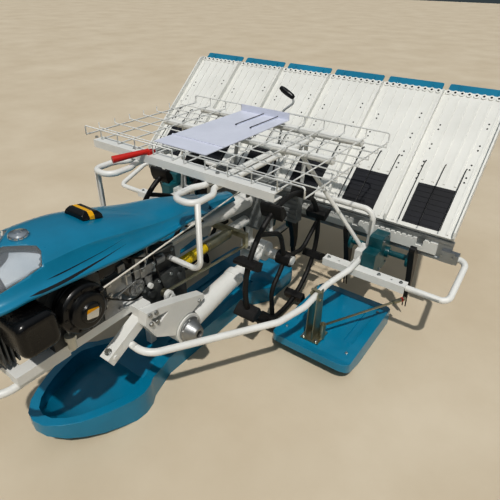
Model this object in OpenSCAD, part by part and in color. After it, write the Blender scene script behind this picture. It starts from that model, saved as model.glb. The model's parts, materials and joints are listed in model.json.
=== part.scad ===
// Walk-behind rice transplanter for six rows.
// Millimetres. X points to the machine's left, -Y is forward, Z is up.
// The origin lies on the ground, midway between the wheels, under their axle.

/* [Layout] */
// Distance between planted rows
row_pitch = 300; // [280:1:310]
// Overall length, bumper to grips
overall_l = 2370; // [2330:1:2450]
// Distance between the wheels' middle planes
wheel_track = 600; // [590:1:620]
// Height of the wheel axle at rest
axle_z = 330; // [328:1:336]
// General clearance between pieces that meet
gap = 0.3; // [0.2:0.1:0.6]
// Radial running clearance of shafts
run_gap = 0.05; // [0.03:0.01:0.08]

/* [Wheels] */
// Diameter over the lugs
wheel_d = 660; // [640:1:666]
// Radius of the rubber-coated ring bar
ring_bar_r = 11; // [8:0.5:13]
// Number of paddle lugs
lug_count = 8; // [6:1:12]
// Width of a lug across the wheel
lug_w = 96; // [80:1:104]
// Thickness of a lug at its root
lug_t = 34; // [24:1:40]
// Radius of the axle
axle_r = 12; // [10:0.5:14]
// Radius of the hub
hub_r = 31; // [27:0.5:34]
// Length of the hub
hub_l = 66; // [56:1:76]

/* [Swing cases] */
// Distance of a swing pivot ahead of the axle
pivot_y = 520; // [500:1:540]
// Height of the swing pivots
pivot_z = 250; // [240:1:262]
// Middle plane of a swing case
swing_x = 178; // [174:1:180]
// Radius of the chain case at its front
swing_r_front = 44; // [41:1:48]
// Radius of the chain case at its cap
swing_r_rear = 38; // [35:1:41]
// Radius of the pivot journal
journal_r = 30; // [26:1:33]

/* [Engine] */
// Height of the crankshaft
crank_z = 562; // [555:1:570]
// Distance of the crankshaft ahead of the axle
crank_y = 885; // [875:1:890]
// Radius of the recoil starter
starter_r = 78; // [72:1:79]
// Half width of the crankcase
case_hw = 120; // [110:1:128]
// Number of cooling fins
fin_count = 9; // [6:1:10]

/* [Bonnet] */
// Thickness of the bonnet sheet
bonnet_t = 3; // [2:0.5:5]

/* [Platform] */
// Slope of the seedling platform in degrees
plat_slope = 41; // [40:0.5:43]
// Length of a platform panel up the slope
plat_l = 716; // [690:1:730]
// Distance of the platform's lower edge behind the axle
plat_y = 376; // [374:1:382]
// Height of the platform's lower edge
plat_z = 448; // [444:1:456]
// Depth of the platform panel
panel_t = 22; // [16:1:26]
// Height of the dividers between the mats
divider_h = 26; // [18:1:34]
// Length of the teal extension tabs
tab_l = 48; // [40:1:60]
// Sideways place of the platform as parked
plat_shift = -20; // [-40:1:10]

/* [Floats] */
// Depth of the floats
float_h = 84; // [74:1:92]
// Half width of the centre float's front
shovel_hw = 195; // [188:1:202]
// Half width of the centre float's waist
waist_hw = 128; // [118:1:134]
// Middle of a side float
side_float_x = 542; // [536:1:550]
// Width of a side float
side_float_w = 352; // [340:1:360]

/* [Tubes] */
// Radius of the guard tubes
guard_r = 13; // [11:0.5:14]
// Height of the guard tubes
guard_z = 293; // [288:1:300]
// Radius of the rack's loop tubes
loop_r = 11; // [9:0.5:12]
// Height of the rack's loop tubes
loop_z = 790; // [780:1:800]
// Radius of the handlebar tubes
handle_r = 14; // [12:0.5:16]

/* [Seedling racks] */
// Half length of the beam and the bars
beam_hl = 435; // [420:1:450]
// Sideways place of the beam and the bars
beam_shift = 15; // [0:1:20]
// Width of a basket
basket_w = 490; // [470:1:505]
// Distance between the two baskets
basket_space = 56; // [50:1:70]
// Sideways place of the baskets as laid
basket_shift = 28; // [10:1:34]
// Height of a basket
basket_h = 36; // [30:1:45]
// Radius of the basket wires
wire_r = 2.8; // [2.4:0.1:3.2]

/* [Hidden] */
$fn = 32;
wheel_x = wheel_track / 2;
wheel_r = wheel_d / 2;
sides = [1, -1];
bend_lap = 1.5;
bend_swell = 0.15;

function unit(v) = v / norm(v);

// Round bar from a to b
module rod(a, b, r) {
    d = b - a;
    translate(a)
        rotate([0, acos(d[2] / norm(d)), atan2(d[1], d[0])])
            cylinder(h = norm(d), r = r);
}

// Arc of a bent bar: starts at s in direction u and turns towards w
module bend_arc(s, u, w, bend_r, r, turn) {
    z = cross(u, w);
    c = s + bend_r * w;
    multmatrix([[-w[0], u[0], z[0], c[0]],
                [-w[1], u[1], z[1], c[1]],
                [-w[2], u[2], z[2], c[2]],
                [0, 0, 0, 1]])
        rotate_extrude(angle = turn)
            translate([bend_r, 0])
                circle(r = r);
}

// Length that a bend of bend_r takes off each side of corner i
function trim(p, i, bend_r) =
    (i <= 0 || i >= len(p) - 1) ? 0
    : bend_r * tan(acos(min(1, unit(p[i] - p[i - 1]) * unit(p[i + 1] - p[i]))) / 2);

// Round tube through the points p with rounded corners, which are slightly swollen as in a bent tube
module bent_tube(p, r, bend_r) {
    n = len(p) - 1;
    for (i = [0 : n - 1]) {
        u = unit(p[i + 1] - p[i]);
        rod(p[i] + u * (trim(p, i, bend_r) - (i > 0 ? bend_lap : 0)),
            p[i + 1] - u * (trim(p, i + 1, bend_r) - (i < n - 1 ? bend_lap : 0)), r);
    }
    for (i = [1 : 1 : len(p) - 2]) {
        u = unit(p[i] - p[i - 1]);
        v = unit(p[i + 1] - p[i]);
        bend_arc(p[i] - u * trim(p, i, bend_r), u, unit(v - u * (u * v)), bend_r, r + bend_swell, acos(u * v));
    }
}

// Box given by its two corners
module block(a, b) {
    translate(a)
        cube(b - a);
}

// Disc or tube along X, starting at x0
module x_cyl(x0, y, z, len, r) {
    translate([x0, y, z])
        rotate([0, 90, 0])
            cylinder(h = len, r = r);
}

// Copies of a left-hand piece on both sides
module both_sides() {
    for (s = sides)
        mirror([s < 0 ? 1 : 0, 0, 0])
            children();
}

// Puts a child on one side: +1 left, -1 right
module on_side(s) {
    mirror([s < 0 ? 1 : 0, 0, 0])
        children();
}

// Rounded corner: n + 1 points of an arc about c
function arc(c, r, from, to, n = 5) =
    [for (i = [0 : n]) c + r * [cos(from + (to - from) * i / n), sin(from + (to - from) * i / n)]];

// Plan with both halves from the points of the left half, front to rear
function mirrored(half) = concat(half, [for (i = [len(half) - 1 : -1 : 0]) [-half[i][0], half[i][1]]]);

// Side profile [y, z] extruded across the machine from x0 to x1
module side_profile(x0, x1, points) {
    translate([x0, 0, 0])
        rotate([90, 0, 90])
            linear_extrude(height = x1 - x0)
                polygon(points);
}

// Floats

front_y = -1056;
float_rear = 300;
dish_rear = -610;
side_front = -205;
side_rear = 295;
side_float_in = side_float_x - side_float_w / 2;
side_float_out = side_float_x + side_float_w / 2;

// Half plan of the centre float's bow
bow_plan = [[0, front_y], [44, front_y + 10], [88, front_y + 46], [122, front_y + 92], [152, front_y + 150],
    [174, front_y + 206], [shovel_hw - 3, front_y + 262], [shovel_hw, -752], [shovel_hw - 12, -708], [162, -676]];

// Half plan of the centre float, inset by t
function centre_plan(t) = concat(
    [for (p = bow_plan) [p[0] * (1 - t / 190), p[1] + t * max(0, (-800 - p[1]) / 256)]],
    [[waist_hw - t, -560], [waist_hw - t, -20], [186 - t, 70]],
    arc([156, float_rear - 30], 30 - t, 0, 90, 3));

module centre_float() {
    color("teal")
    difference() {
        intersection() {
            linear_extrude(height = 200)
                polygon(mirrored(centre_plan(0)));
            side_profile(-300, 300, [[front_y, 70], [-1000, 46], [-900, 16], [-800, 0], [float_rear - 40, 0],
                [float_rear, 18], [float_rear, float_h - 10], [120, float_h], [-600, float_h],
                [-700, 104], [-960, 112], [front_y, 122]]);
        }
        intersection() {
            translate([0, 0, 30])
                linear_extrude(height = 200)
                    polygon(mirrored(concat([for (p = centre_plan(36)) if (p[1] < -740) p],
                        [[shovel_hw - 62, -690], [waist_hw - 30, dish_rear]])));
            side_profile(-300, 300, [[front_y + 26, 112], [-980, 66], [-880, 40], [dish_rear - 60, 40],
                [dish_rear, 90], [dish_rear, 200], [front_y + 26, 200]]);
        }
        for (s = sides)
            block([s * 74 - 16, -500, float_h - 9], [s * 74 + 16, 60, float_h + 1]);
    }
}

module side_float() {
    r = 42;
    color("teal")
    difference() {
        intersection() {
            linear_extrude(height = 200)
                polygon(concat(
                    arc([side_float_in + r, side_front + r], r, 180, 270),
                    arc([side_float_out - r, side_front + r], r, 270, 360),
                    arc([side_float_out - r, side_rear - r], r, 0, 90),
                    arc([side_float_in + r, side_rear - r], r, 90, 180)));
            side_profile(side_float_in - 10, side_float_out + 10, [[side_front, 58], [side_front + 60, 22],
                [side_front + 150, 0], [side_rear - 20, 0], [side_rear, 14], [side_rear, float_h - 18],
                [side_rear - 60, float_h], [side_front + 40, float_h], [side_front, float_h + 12]]);
        }
        for (x = [side_float_in + 62, side_float_out - 62])
            block([x - 20, side_front + 150, float_h - 8], [x + 20, side_rear - 70, float_h + 1]);
    }
}

link_y = 150;
link_hw = 32;

module side_floats() {
    both_sides()
        side_float();
}

// Forked bracket on the centre float with its post, and the front post
module float_link() {
    color("whitesmoke") {
        difference() {
            union() {
                side_profile(-link_hw, link_hw, [[link_y - 46, float_h + gap], [link_y + 46, float_h + gap],
                    [link_y + 20, 250], [link_y - 20, 250]]);
                block([-13, link_y - 13, 240], [13, link_y + 13, case_z0 - gap]);
            }
            side_profile(-link_hw + 9, link_hw - 9, [[link_y - 60, 0], [link_y + 60, 0],
                [link_y + 60, 228], [link_y - 60, 228]]);
        }
        x_cyl(-link_hw - 6, link_y, 195, 2 * link_hw + 12, 8.7);
        block([-14, -545, float_h + gap], [14, -515, trans_z0 - gap]);
    }
}

plate_x = 516;
plate_gap = guard_r + gap;

// Float hangers: two plates that hold the guard tube between them
module float_brackets() {
    color("silver")
    both_sides() {
        block([plate_x - 34, -150, float_h + gap], [plate_x + 48, -58, float_h + 7]);
        for (x = [plate_x - plate_gap - 4, plate_x + plate_gap])
            side_profile(x, x + 4, [[-142, float_h + 6], [-66, float_h + 6], [-80, guard_z + 22], [-128, guard_z + 22]]);
        x_cyl(plate_x - plate_gap - 10, -104, guard_z - guard_r - 6.5, 2 * plate_gap + 20, 6);
        x_cyl(plate_x - plate_gap - 10, -104, guard_z + guard_r + 6.5, 2 * plate_gap + 20, 6);
        translate([marker_x, marker_y, float_h + 6])
            cylinder(h = marker_z - float_h - 6 - 12, r = 12);
        translate([marker_x, marker_y, float_h + 6])
            cylinder(h = marker_z - float_h + 8, r = 6);
    }
}

// Engine

rail_x0 = 80;
rail_x1 = 120;
rail_z0 = 400;
rail_z1 = 432;
case_y0 = -crank_y - 92;
case_y1 = -crank_y + 95;
cyl_z = crank_z - 47;

module engine_block() {
    color("darkgray") {
        side_profile(-case_hw, case_hw, [[case_y0, rail_z1 + gap], [case_y1, rail_z1 + gap],
            [case_y1, crank_z + 50], [case_y1 - 40, crank_z + 88], [case_y0 + 50, crank_z + 88],
            [case_y0, crank_z + 40]]);
        x_cyl(case_hw - 1, -crank_y, crank_z, 31, starter_r - 6);
        x_cyl(-case_hw - 29, -crank_y, crank_z, 30, 48);
        translate([0, case_y0 + 1, cyl_z])
            rotate([90, 0, 0])
                cylinder(h = 150, r = 44);
        for (i = [0 : fin_count - 1])
            block([-78, case_y0 - 14 - i * 13 - 5, cyl_z - 70], [78, case_y0 - 14 - i * 13, cyl_z + 72]);
        side_profile(-70, 70, [[case_y0 - 146, cyl_z - 58], [case_y0 - 130, cyl_z - 66], [case_y0 - 130, cyl_z + 66],
            [case_y0 - 146, cyl_z + 58], [case_y0 - 160, cyl_z + 30], [case_y0 - 160, cyl_z - 30]]);
        x_cyl(69, muffler_y, muffler_z - 20, muffler_x0 - gap - 69, 15);
        block([-44, -1010, crank_z + 80], [44, -860, tank_top]);
        translate([0, cap_y, tank_top - 1])
            cylinder(h = cap_z - gap - tank_top + 1, r = 16);
    }
}

muffler_x0 = 104;
muffler_l = 96;
muffler_y = -1036;
muffler_z = crank_z + 21;
muffler_hw = 57;
muffler_round = 30;

// Rounded square of half width w with corner radius r
module rounded_square(w, r) {
    for (x = [-1, 1], y = [-1, 1])
        translate([x * (w - r), y * (w - r)])
            circle(r = r);
    square([2 * w, 2 * (w - r)], center = true);
    square([2 * (w - r), 2 * w], center = true);
}

// Black box over the silencer, stepped at its face
module muffler_cover() {
    color([0.08, 0.08, 0.08])
    translate([muffler_x0, muffler_y, muffler_z])
        rotate([0, 90, 0])
            for (step = [[10, 0], [4, 5], [0, 11]])
                linear_extrude(height = muffler_l - step[0])
                    rounded_square(muffler_hw - step[1], muffler_round - step[1]);
}

starter_x = case_hw + 30;

module recoil_starter() {
    color([0.1, 0.1, 0.1])
    translate([starter_x + gap, -crank_y, crank_z])
        rotate([0, 90, 0])
            difference() {
                rotate_extrude()
                    polygon([[0, 0], [starter_r, 0], [starter_r, 20], [starter_r - 6, 27], [starter_r - 20, 29],
                        [starter_r - 22, 41], [starter_r - 30, 45], [30, 46], [28, 54], [0, 54]]);
                for (i = [0 : 11])
                    rotate([0, 0, 30 * i])
                        translate([starter_r - 17, -3.5, 20])
                            cube([11, 7, 20]);
            }
}

strainer_y = case_y0 + 45;
strainer_z = crank_z - 132;

module fuel_strainer() {
    color("lightyellow")
    translate([case_hw + gap + 17, strainer_y, strainer_z]) {
        cylinder(h = 34, r = 13);
        translate([0, 0, 33])
            cylinder(h = 15, r = 17);
        translate([0, 0, -6])
            cylinder(h = 7, r = 9);
        block([-17, -7, 34], [0, 7, 44]);
    }
}

// Rails under the engine with their cross pieces, and the clamps and square bars that carry the guard tubes
module engine_frame() {
    color("whitesmoke") {
        both_sides() {
            block([rail_x0, -1100, rail_z0], [rail_x1, trans_y0 - gap, rail_z1]);
            block([rail_x1 - 1, -700, rail_z0 + 5], [clamp_x0 + 1, -668, rail_z1]);
            block([clamp_x0, -702, 372], [arm_x0 + 1, -650, 438]);
            translate([bar_x, bar_from[0], bar_from[1]])
                rotate([bar_tilt, 0, 0])
                    translate([-bar_w / 2, -bar_len, -bar_w / 2])
                        cube([bar_w, bar_len, bar_w]);
            x_cyl(bar_x - bar_w / 2 - 5, bar_from[0] - (bar_len - 24) * cos(bar_tilt),
                bar_from[1] - (bar_len - 24) * sin(bar_tilt), bar_w + 10, 9);
            difference() {
                side_profile(arm_x0, arm_x1, concat([[-702, 438], [-648, 428], [-560, 400], [-425, 352], [-425, 330],
                    [-462, 322]], [for (a = [65 : 21 : 170]) [-pivot_y + 66 * cos(a), pivot_z + 66 * sin(a)]],
                    [[-672, 317], [-712, 390]]));
                side_profile(arm_x0 - 1, arm_x1 + 1, [[-684, 402], [-606, 390], [-658, 362]]);
            }
        }
        for (y = [-1098, -700])
            block([-rail_x0 - 1, y, rail_z0 + 4], [rail_x0 + 1, y + 34, rail_z1 - 4]);
    }
}

bumper_z = rail_z0 - 12 - gap;
bumper_y = -overall_l / 2 + 12;

module front_bumper() {
    color("whitesmoke")
    bent_tube([[100, -930, bumper_z], [100, bumper_y, bumper_z], [-100, bumper_y, bumper_z], [-100, -930, bumper_z]], 12, 70);
}

// Bonnet

// y, half width at the crease, half width at the hem, height of the top, of the crease and of the hem
bonnet_sections = [
    [-1164, 46, 78, 708, 684, 656],
    [-1128, 86, 128, 738, 700, 658],
    [-1010, 108, 162, 757, 716, 668],
    [-800, 112, 166, 757, 714, 653],
    [-664, 104, 158, 727, 686, 638],
    [-520, 90, 142, 690, 653, 622],
    [-360, 72, 116, 659, 626, 606],
    [-208, 54, 86, 620, 596, 574],
    [-200, 47, 62, 611, 592, 562],
    [-12, 28, 38, 566, 550, 532]];
function bonnet_top(y) = lookup(y, [for (s = bonnet_sections) [s[0], s[3]]]);

// One cross-section of the bonnet, inset by t and lowered at the hem by drop
module bonnet_section(s, t, drop) {
    d = s[3] - s[4];
    w = s[1] - t;
    h = s[2] - t;
    half = [[0, s[3] - t], [w / 2, s[3] - t - d / 8], [0.85 * w, s[3] - t - 0.62 * d], [w, s[4] - t],
        [w + 0.66 * (h - w), s[4] - t - 0.5 * (s[4] - s[5])], [h, s[5] + 12 - t], [h, s[5] - drop]];
    translate([0, s[0] + (s[0] < -1150 ? t : s[0] > -20 ? -t : 0) + 0.2, 0])
        rotate([90, 0, 0])
            linear_extrude(height = 0.4)
                polygon(concat(half, [for (i = [len(half) - 1 : -1 : 1]) [-half[i][0], half[i][1]]]));
}

module bonnet_body(t, drop) {
    for (i = [0 : len(bonnet_sections) - 2])
        hull() {
            bonnet_section(bonnet_sections[i], t, drop);
            bonnet_section(bonnet_sections[i + 1], t, drop);
        }
}

lamp_in = 8;
lamp_rear = -918;

// Room of a wedge-shaped headlamp in the bonnet's front corner, grown by g
module lamp_room(g) {
    both_sides()
        intersection() {
            translate([0, 0, 640])
                linear_extrude(height = 160)
                    polygon([[lamp_in - g, -1200], [lamp_in - g, lamp_rear - 67 + g / 2], [80, lamp_rear + 1.4 * g],
                        [94, lamp_rear - 10 + 1.4 * g], [200, lamp_rear - 20 + 1.4 * g], [200, -1200]]);
            side_profile(0, 200, [[-1200, 680 - g], [-1140, 690 - g], [-1050, 707 - g], [-900, 736 - g], [-900, 800],
                [-1200, 800]]);
        }
}

module bonnet() {
    color("teal")
    difference() {
        bonnet_body(0, 0);
        bonnet_body(bonnet_t, 5);
        lamp_room(gap);
        translate([0, cap_y, 700])
            cylinder(h = 100, r = 19);
    }
}

module headlamps() {
    color("lightgray")
    difference() {
        intersection() {
            bonnet_body(0, 0);
            lamp_room(0);
        }
        bonnet_body(7, 5);
    }
}

cap_y = -932;
cap_z = 758;
tank_top = bonnet_top(-860) - bonnet_t - 12;

module fuel_cap() {
    color("silver")
    translate([0, cap_y, cap_z])
        difference() {
            rotate_extrude()
                polygon([[0, 0], [26, 0], [28, 2], [28, 10], [25, 15], [10, 17], [9, 19], [0, 19]]);
            for (i = [0 : 11])
                rotate([0, 0, 30 * i])
                    translate([28.5, 0, -1])
                        cylinder(h = 12, r = 1.8);
        }
}

// Black moulding on top of the bonnet
module bonnet_cap() {
    color([0.1, 0.1, 0.1])
    intersection() {
        side_profile(-46, 46, [[-760, bonnet_top(-760) + gap], [-688, bonnet_top(-688) + gap], [-690, bonnet_top(-688) + 14],
            [-701, bonnet_top(-701) + 26], [-744, bonnet_top(-744) + 28], [-757, bonnet_top(-757) + 16]]);
        translate([0, -688, 0])
            rotate([90, 0, 0])
                linear_extrude(height = 72)
                    polygon(mirrored([[46, 700], [46, bonnet_top(-744) + 10], [34, bonnet_top(-744) + 30]]));
    }
}

// Drive train

trans_y0 = -640;
trans_y1 = -425;
trans_z0 = 230;
trans_z1 = 460;
trans_hw = 118;
upper_hw = 92;
stay_y = -478;
stay_z = 500;

module transmission_case() {
    color("gainsboro") {
        side_profile(-trans_hw, trans_hw, [[trans_y0, 300], [trans_y0 + 60, trans_z0], [trans_y1 - 40, trans_z0],
            [trans_y1, 290], [trans_y1, trans_z1], [trans_y0, trans_z1]]);
        side_profile(-upper_hw, upper_hw, [[-600, trans_z1 - 1], [-442, trans_z1 - 1], [-446, 530], [-470, 548],
            [-570, 548], [-600, 520]]);
        for (s = sides)
            x_cyl(s > 0 ? trans_hw - 1 : -swing_x0 + gap, -pivot_y, pivot_z, swing_x0 - trans_hw + 1 - gap, 48);
        for (s = sides)
            x_cyl(s > 0 ? trans_hw : -swing_x1 - gap, -pivot_y, pivot_z, swing_x1 - trans_hw + gap, journal_r);
        block([-5, -508, 547], [5, -484, bonnet_top(-484) - bonnet_t - 3 * gap]);
        both_sides()
            for (y = [-600, -455])
                x_cyl(trans_hw - 1, y, 420, 9, 16);
        translate([0, trans_y1 + 1, shaft_z])
            rotate([90, 0, 0])
                cylinder(h = 30, r = 34);
    }
}

swing_w = 64;
swing_x0 = swing_x - swing_w / 2;
swing_x1 = swing_x + swing_w / 2;

// Cone covers on the ends of the pivot journals
module pivot_covers() {
    color("silver")
    both_sides()
        translate([swing_x1 + 2 * gap, -pivot_y, pivot_z])
            rotate([0, 90, 0])
                difference() {
                    rotate_extrude()
                        polygon([[0, 0], [50, 0], [50, 7], [44, 10], [27, 46], [24, 50], [0, 50]]);
                    translate([0, 0, 26])
                        cylinder(h = 30, r = 14);
                }
}

clamp_x0 = 132;
bar_x = 150;
bar_w = 40;
bar_from = [-672, 394];
bar_tilt = 27;
bar_len = 190;
arm_x0 = 168;
arm_x1 = 206;

cylinder_x = 62;
cylinder_z = 415;
cylinder_r = 23;
spring_y0 = trans_y1 + gap;
spring_y1 = -248;
beam_yoke_y = -75;
rod_x = 134;
rod_z = 366;

// Lift cylinder with its yoke and the two pull rods, whose eyes stand beside the swing levers
module lift_cylinder() {
    color("silver") {
        difference() {
            translate([cylinder_x, spring_y1 + gap, cylinder_z])
                rotate([-90, 0, 0])
                    cylinder(h = 150, r = cylinder_r);
            for (y = [spring_y1 + 12, spring_y1 + 135])
                translate([cylinder_x, y, cylinder_z])
                    rotate([-90, 0, 0])
                        difference() {
                            cylinder(h = 5, r = cylinder_r + 2);
                            cylinder(h = 5, r = cylinder_r - 2);
                        }
        }
        translate([cylinder_x, spring_y1 + 149, cylinder_z])
            rotate([-90, 0, 0])
                cylinder(h = beam_yoke_y - spring_y1 - 148, r = 9);
        block([-rod_x - 8, beam_yoke_y, cylinder_z - 12], [rod_x + 8, beam_yoke_y + 20, cylinder_z + 12]);
        both_sides() {
            block([rod_x - 8, beam_yoke_y, rod_z - 12], [rod_x + 8, beam_yoke_y + 20, cylinder_z]);
            rod([rod_x, beam_yoke_y + 1, rod_z], [rod_x, lever_eye[0] + 12, lever_eye[1]], 6);
            difference() {
                x_cyl(rod_x - 7, lever_eye[0], lever_eye[1], 14, 16);
                x_cyl(rod_x - 8, lever_eye[0], lever_eye[1], 16, 8);
            }
        }
    }
}

// Yellow front part of the lift cylinder
module cylinder_spring() {
    color("gold")
    translate([cylinder_x, spring_y0, cylinder_z])
        rotate([-90, 0, 0])
            rotate_extrude()
                polygon(concat([[0, 0]], [for (i = [0 : 10]) each [[cylinder_r - 4, i * 12], [cylinder_r - 1, i * 12 + 3],
                    [cylinder_r - 1, i * 12 + 8]]], [[cylinder_r - 4, spring_y1 - spring_y0], [0, spring_y1 - spring_y0]]));
}

shaft_z = 478;
shaft_r = 15;
case_y = 120;
case_z0 = 330;
case_top = 540;
main_tube_z = 372;

// Drive shaft with its tapered sleeve, and the main tube under it
module drive_shaft() {
    color("whitesmoke") {
        translate([0, trans_y1 + 1 + gap, shaft_z])
            rotate([-90, 0, 0])
                rotate_extrude()
                    polygon([[0, 0], [shaft_r, 0], [shaft_r, 250], [22, 262], [22, 275], [25, 278], [25, 312], [34, 352],
                        [40, 470], [40, case_y - trans_y1 - 1 - 2 * gap], [0, case_y - trans_y1 - 1 - 2 * gap]]);
        translate([0, trans_y1 + gap, main_tube_z])
            rotate([-90, 0, 0])
                cylinder(h = case_y - trans_y1 - 2 * gap, r = 23);
    }
}

beam_y0 = 190;
beam_y1 = 240;
beam_hw = 235;
beam_z0 = 396;
beam_z1 = 560;

module rear_case() {
    color("gainsboro") {
        side_profile(-95, 95, [[case_y, case_z0 + 20], [case_y + 16, case_z0], [beam_y0 - gap, case_z0],
            [beam_y0 - gap, case_top], [case_y + 24, case_top], [case_y, case_top - 24]]);
        both_sides()
            x_cyl(94, case_y + 34, 470, 40, 26);
    }
}

// Grooved transverse box beam between the wheels
module cross_beam() {
    color("lightgray")
    difference() {
        block([-beam_hw, beam_y0, beam_z0], [beam_hw, beam_y1, beam_z1]);
        for (z = [beam_z1 - 22 : -24 : beam_z0 + 20])
            for (s = sides)
                block([s > 0 ? 98 : -beam_hw - 1, beam_y0 - 1, z - 5], [s > 0 ? beam_hw + 1 : -98, beam_y0 + 5, z + 5]);
        for (y = [beam_y0 + 14, beam_y0 + 30])
            block([-beam_hw - 1, y - 3, beam_z1 - 5], [beam_hw + 1, y + 3, beam_z1 + 1]);
    }
}

cross_y = 290;
cross_z = 520;
arch_x = 556;

module cross_tube() {
    color("whitesmoke") {
        bent_tube([[arch_x, cross_y, gusset_z + gap], [arch_x, cross_y, cross_z], [-arch_x, cross_y, cross_z],
            [-arch_x, cross_y, gusset_z + gap]], guard_r, 46);
        both_sides()
            block([140, beam_y1 + gap, cross_z - 16], [152, cross_y, cross_z + 16]);
    }
}

// Planting

crank_pin = [318, 330];
rocker_pin = [282, 398];
case_xs = [-2 * row_pitch, 0, 2 * row_pitch];
case_hx = 30;
planter_z0 = 252;
shaft_disc_r = 24;

// Planting cases with their cross shafts and crank discs
module planting_cases() {
    color("teal")
    for (x = case_xs)
        translate([x, 0, 0]) {
            difference() {
                side_profile(-case_hx, case_hx, [[(x == 0 ? beam_y1 : channel_y1) + gap, 290],
                    [270, planter_z0], [340, planter_z0 + 6], [352, 300], [352, 372], [335, 418], [270, 424],
                    [(x == 0 ? beam_y1 : channel_y1) + gap, 410]]);
                if (x != 0)
                    block([-case_hx - 1, channel_y1 - 1, 372], [case_hx + 1, channel_y1 + 60, 430]);
            }
            block([-case_hx + 4, 330, 298], [case_hx - 4, 398, rail_bottom - gap]);

            for (s = sides) {
                x_cyl(s > 0 ? case_hx - 1 : -row_pitch / 2 + 22, crank_pin[0], crank_pin[1], row_pitch / 2 - 22 - case_hx + 1, 13);
                x_cyl(s > 0 ? case_hx - 1 : -case_hx - 17, crank_pin[0], crank_pin[1], 18, shaft_disc_r);
                x_cyl(s > 0 ? row_pitch / 2 - 23 : -row_pitch / 2 + 12.3, crank_pin[0], crank_pin[1], 10.7, 38);
            }
        }
}

// Planting arms with forked claws, one for each row
module planting_arms() {
    color("darkslategray")
    for (x = case_xs)
        for (s = sides)
            translate([x + s * row_pitch / 2, 0, 0]) {
                rotate([90, 0, 90])
                    translate([0, 0, -12])
                        linear_extrude(height = 24) {
                            translate(crank_pin)
                                circle(r = 30);
                            translate(rocker_pin)
                                circle(r = 17);
                            polygon([crank_pin + [-28, -10], rocker_pin + [-17, 0], rocker_pin + [10, 14],
                                crank_pin + [26, 14], crank_pin + [29, -6], [351, 232], [341, 176], [321, 176],
                                [316, 232]]);
                        }
                for (dx = [-9, 5])
                    side_profile(dx, dx + 4, [[322, 177], [340, 177], [354, 60], [349, 60]]);
                translate([-8, 0, 0])
                    side_profile(0, 16, [[326, 176], [334, 176], [338, 120], [334, 120]]);
            }
}

gate_y = 374;
rail_bottom = 336;
rail_hl = 885;

// Extruded rail under the platform's lower edge, with its end brackets
module gate_rail() {
    rail_top = plat_z - panel_t * cos(plat_slope) - 0.5;
    color("silver") {
        side_profile(-rail_hl, rail_hl, [[gate_y, rail_bottom], [gate_y + 26, rail_bottom], [gate_y + 26, rail_bottom + 14],
            [gate_y + 12, rail_bottom + 18], [gate_y + 12, rail_top - 22], [gate_y + 22, rail_top - 16],
            [gate_y + 22, rail_top], [gate_y, rail_top], [gate_y, rail_top - 12], [gate_y + 4, rail_top - 16],
            [gate_y + 4, rail_bottom + 14], [gate_y, rail_bottom + 10]]);
        both_sides() {
            block([rail_hl - 40, gate_y - 14, rail_bottom + 6], [rail_hl + 18, gate_y + 5, rail_bottom + 58]);
            block([rail_hl - 2, gate_y - 14, rail_bottom + 8], [rail_hl + 32, gate_y + 24, rail_bottom + 50]);
        }
    }
}

// White strip with an opening for each row's claws and a comb along its top
module seed_gate() {
    color("white")
    difference() {
        block([-rail_hl + 60, gate_y - 7, rail_bottom + 22], [rail_hl - 60, gate_y + 4 - gap, plat_z - 36]);
        for (x = [-2.5 * row_pitch : row_pitch : 2.5 * row_pitch])
            block([x - 15, gate_y - 8, rail_bottom + 44], [x + 15, gate_y + 5, plat_z]);
        for (x = [-rail_hl + 75 : 25 : rail_hl - 75])
            block([x - 4, gate_y - 8, plat_z - 44], [x + 4, gate_y + 5, plat_z]);
    }
}

// Seedling platform

plat_hw = 3 * row_pitch;

// Frame of the sloping platform: x across, y up the slope, z out of its face
module on_platform() {
    translate([plat_shift, plat_y, plat_z])
        rotate([plat_slope, 0, 0])
            children();
}

belt_w = 160;
belt_l = 200;
belt_y = 18;

module platform_panel() {
    color("white")
    on_platform()
        difference() {
            union() {
                block([-plat_hw, 0, -panel_t], [plat_hw, plat_l, 0]);
                for (i = [0 : 6])
                    side_profile((i - 3) * row_pitch - (i == 6 ? 8 : i == 0 ? 0 : 4), (i - 3) * row_pitch + (i == 0 ? 8 : i == 6 ? 0 : 4),
                        [[0, -1], [plat_l, -1], [plat_l, 6], [plat_l - 26, divider_h], [20, divider_h], [0, 8]]);
                for (i = [0 : 5])
                    for (x = [-118, -70, -24, 24, 70, 118])
                        block([(i - 2.5) * row_pitch + x - 5, abs(x) > 100 ? 12 : belt_y + belt_l + 16, -1],
                            [(i - 2.5) * row_pitch + x + 5, plat_l - 40, 4]);
            }
            for (i = [0 : 5])
                block([(i - 2.5) * row_pitch - belt_w / 2 - gap, belt_y, -5],
                    [(i - 2.5) * row_pitch + belt_w / 2 + gap, belt_y + belt_l, 1]);
        }
}

// Black feed belts with cross ribs, one for each row
module mat_belts() {
    color([0.08, 0.08, 0.1])
    on_platform()
        for (i = [0 : 5])
            translate([(i - 2.5) * row_pitch, belt_y + gap, -5 + gap]) {
                block([-belt_w / 2, 0, 0], [belt_w / 2, belt_l - 2 * gap, 6]);
                for (k = [0 : 7])
                    block([-belt_w / 2 + 6, 10 + k * 25, 5], [belt_w / 2 - 6, 16 + k * 25, 7.5]);
            }
}

module extension_tabs() {
    color("teal")
    on_platform()
        for (i = [0 : 5])
            translate([(i - 2.5) * row_pitch, plat_l + gap, -panel_t + 4]) {
                difference() {
                    block([-row_pitch / 2 + 14, 0, 0], [row_pitch / 2 - 14, tab_l, 5]);
                    block([-38, tab_l - 22, -1], [38, tab_l - 10, 6]);
                }
                for (x = [-90, 82])
                    block([x, 0, 4], [x + 8, tab_l - 10, 9]);
            }
}

press_y = 300;
press_z = 48;

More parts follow.
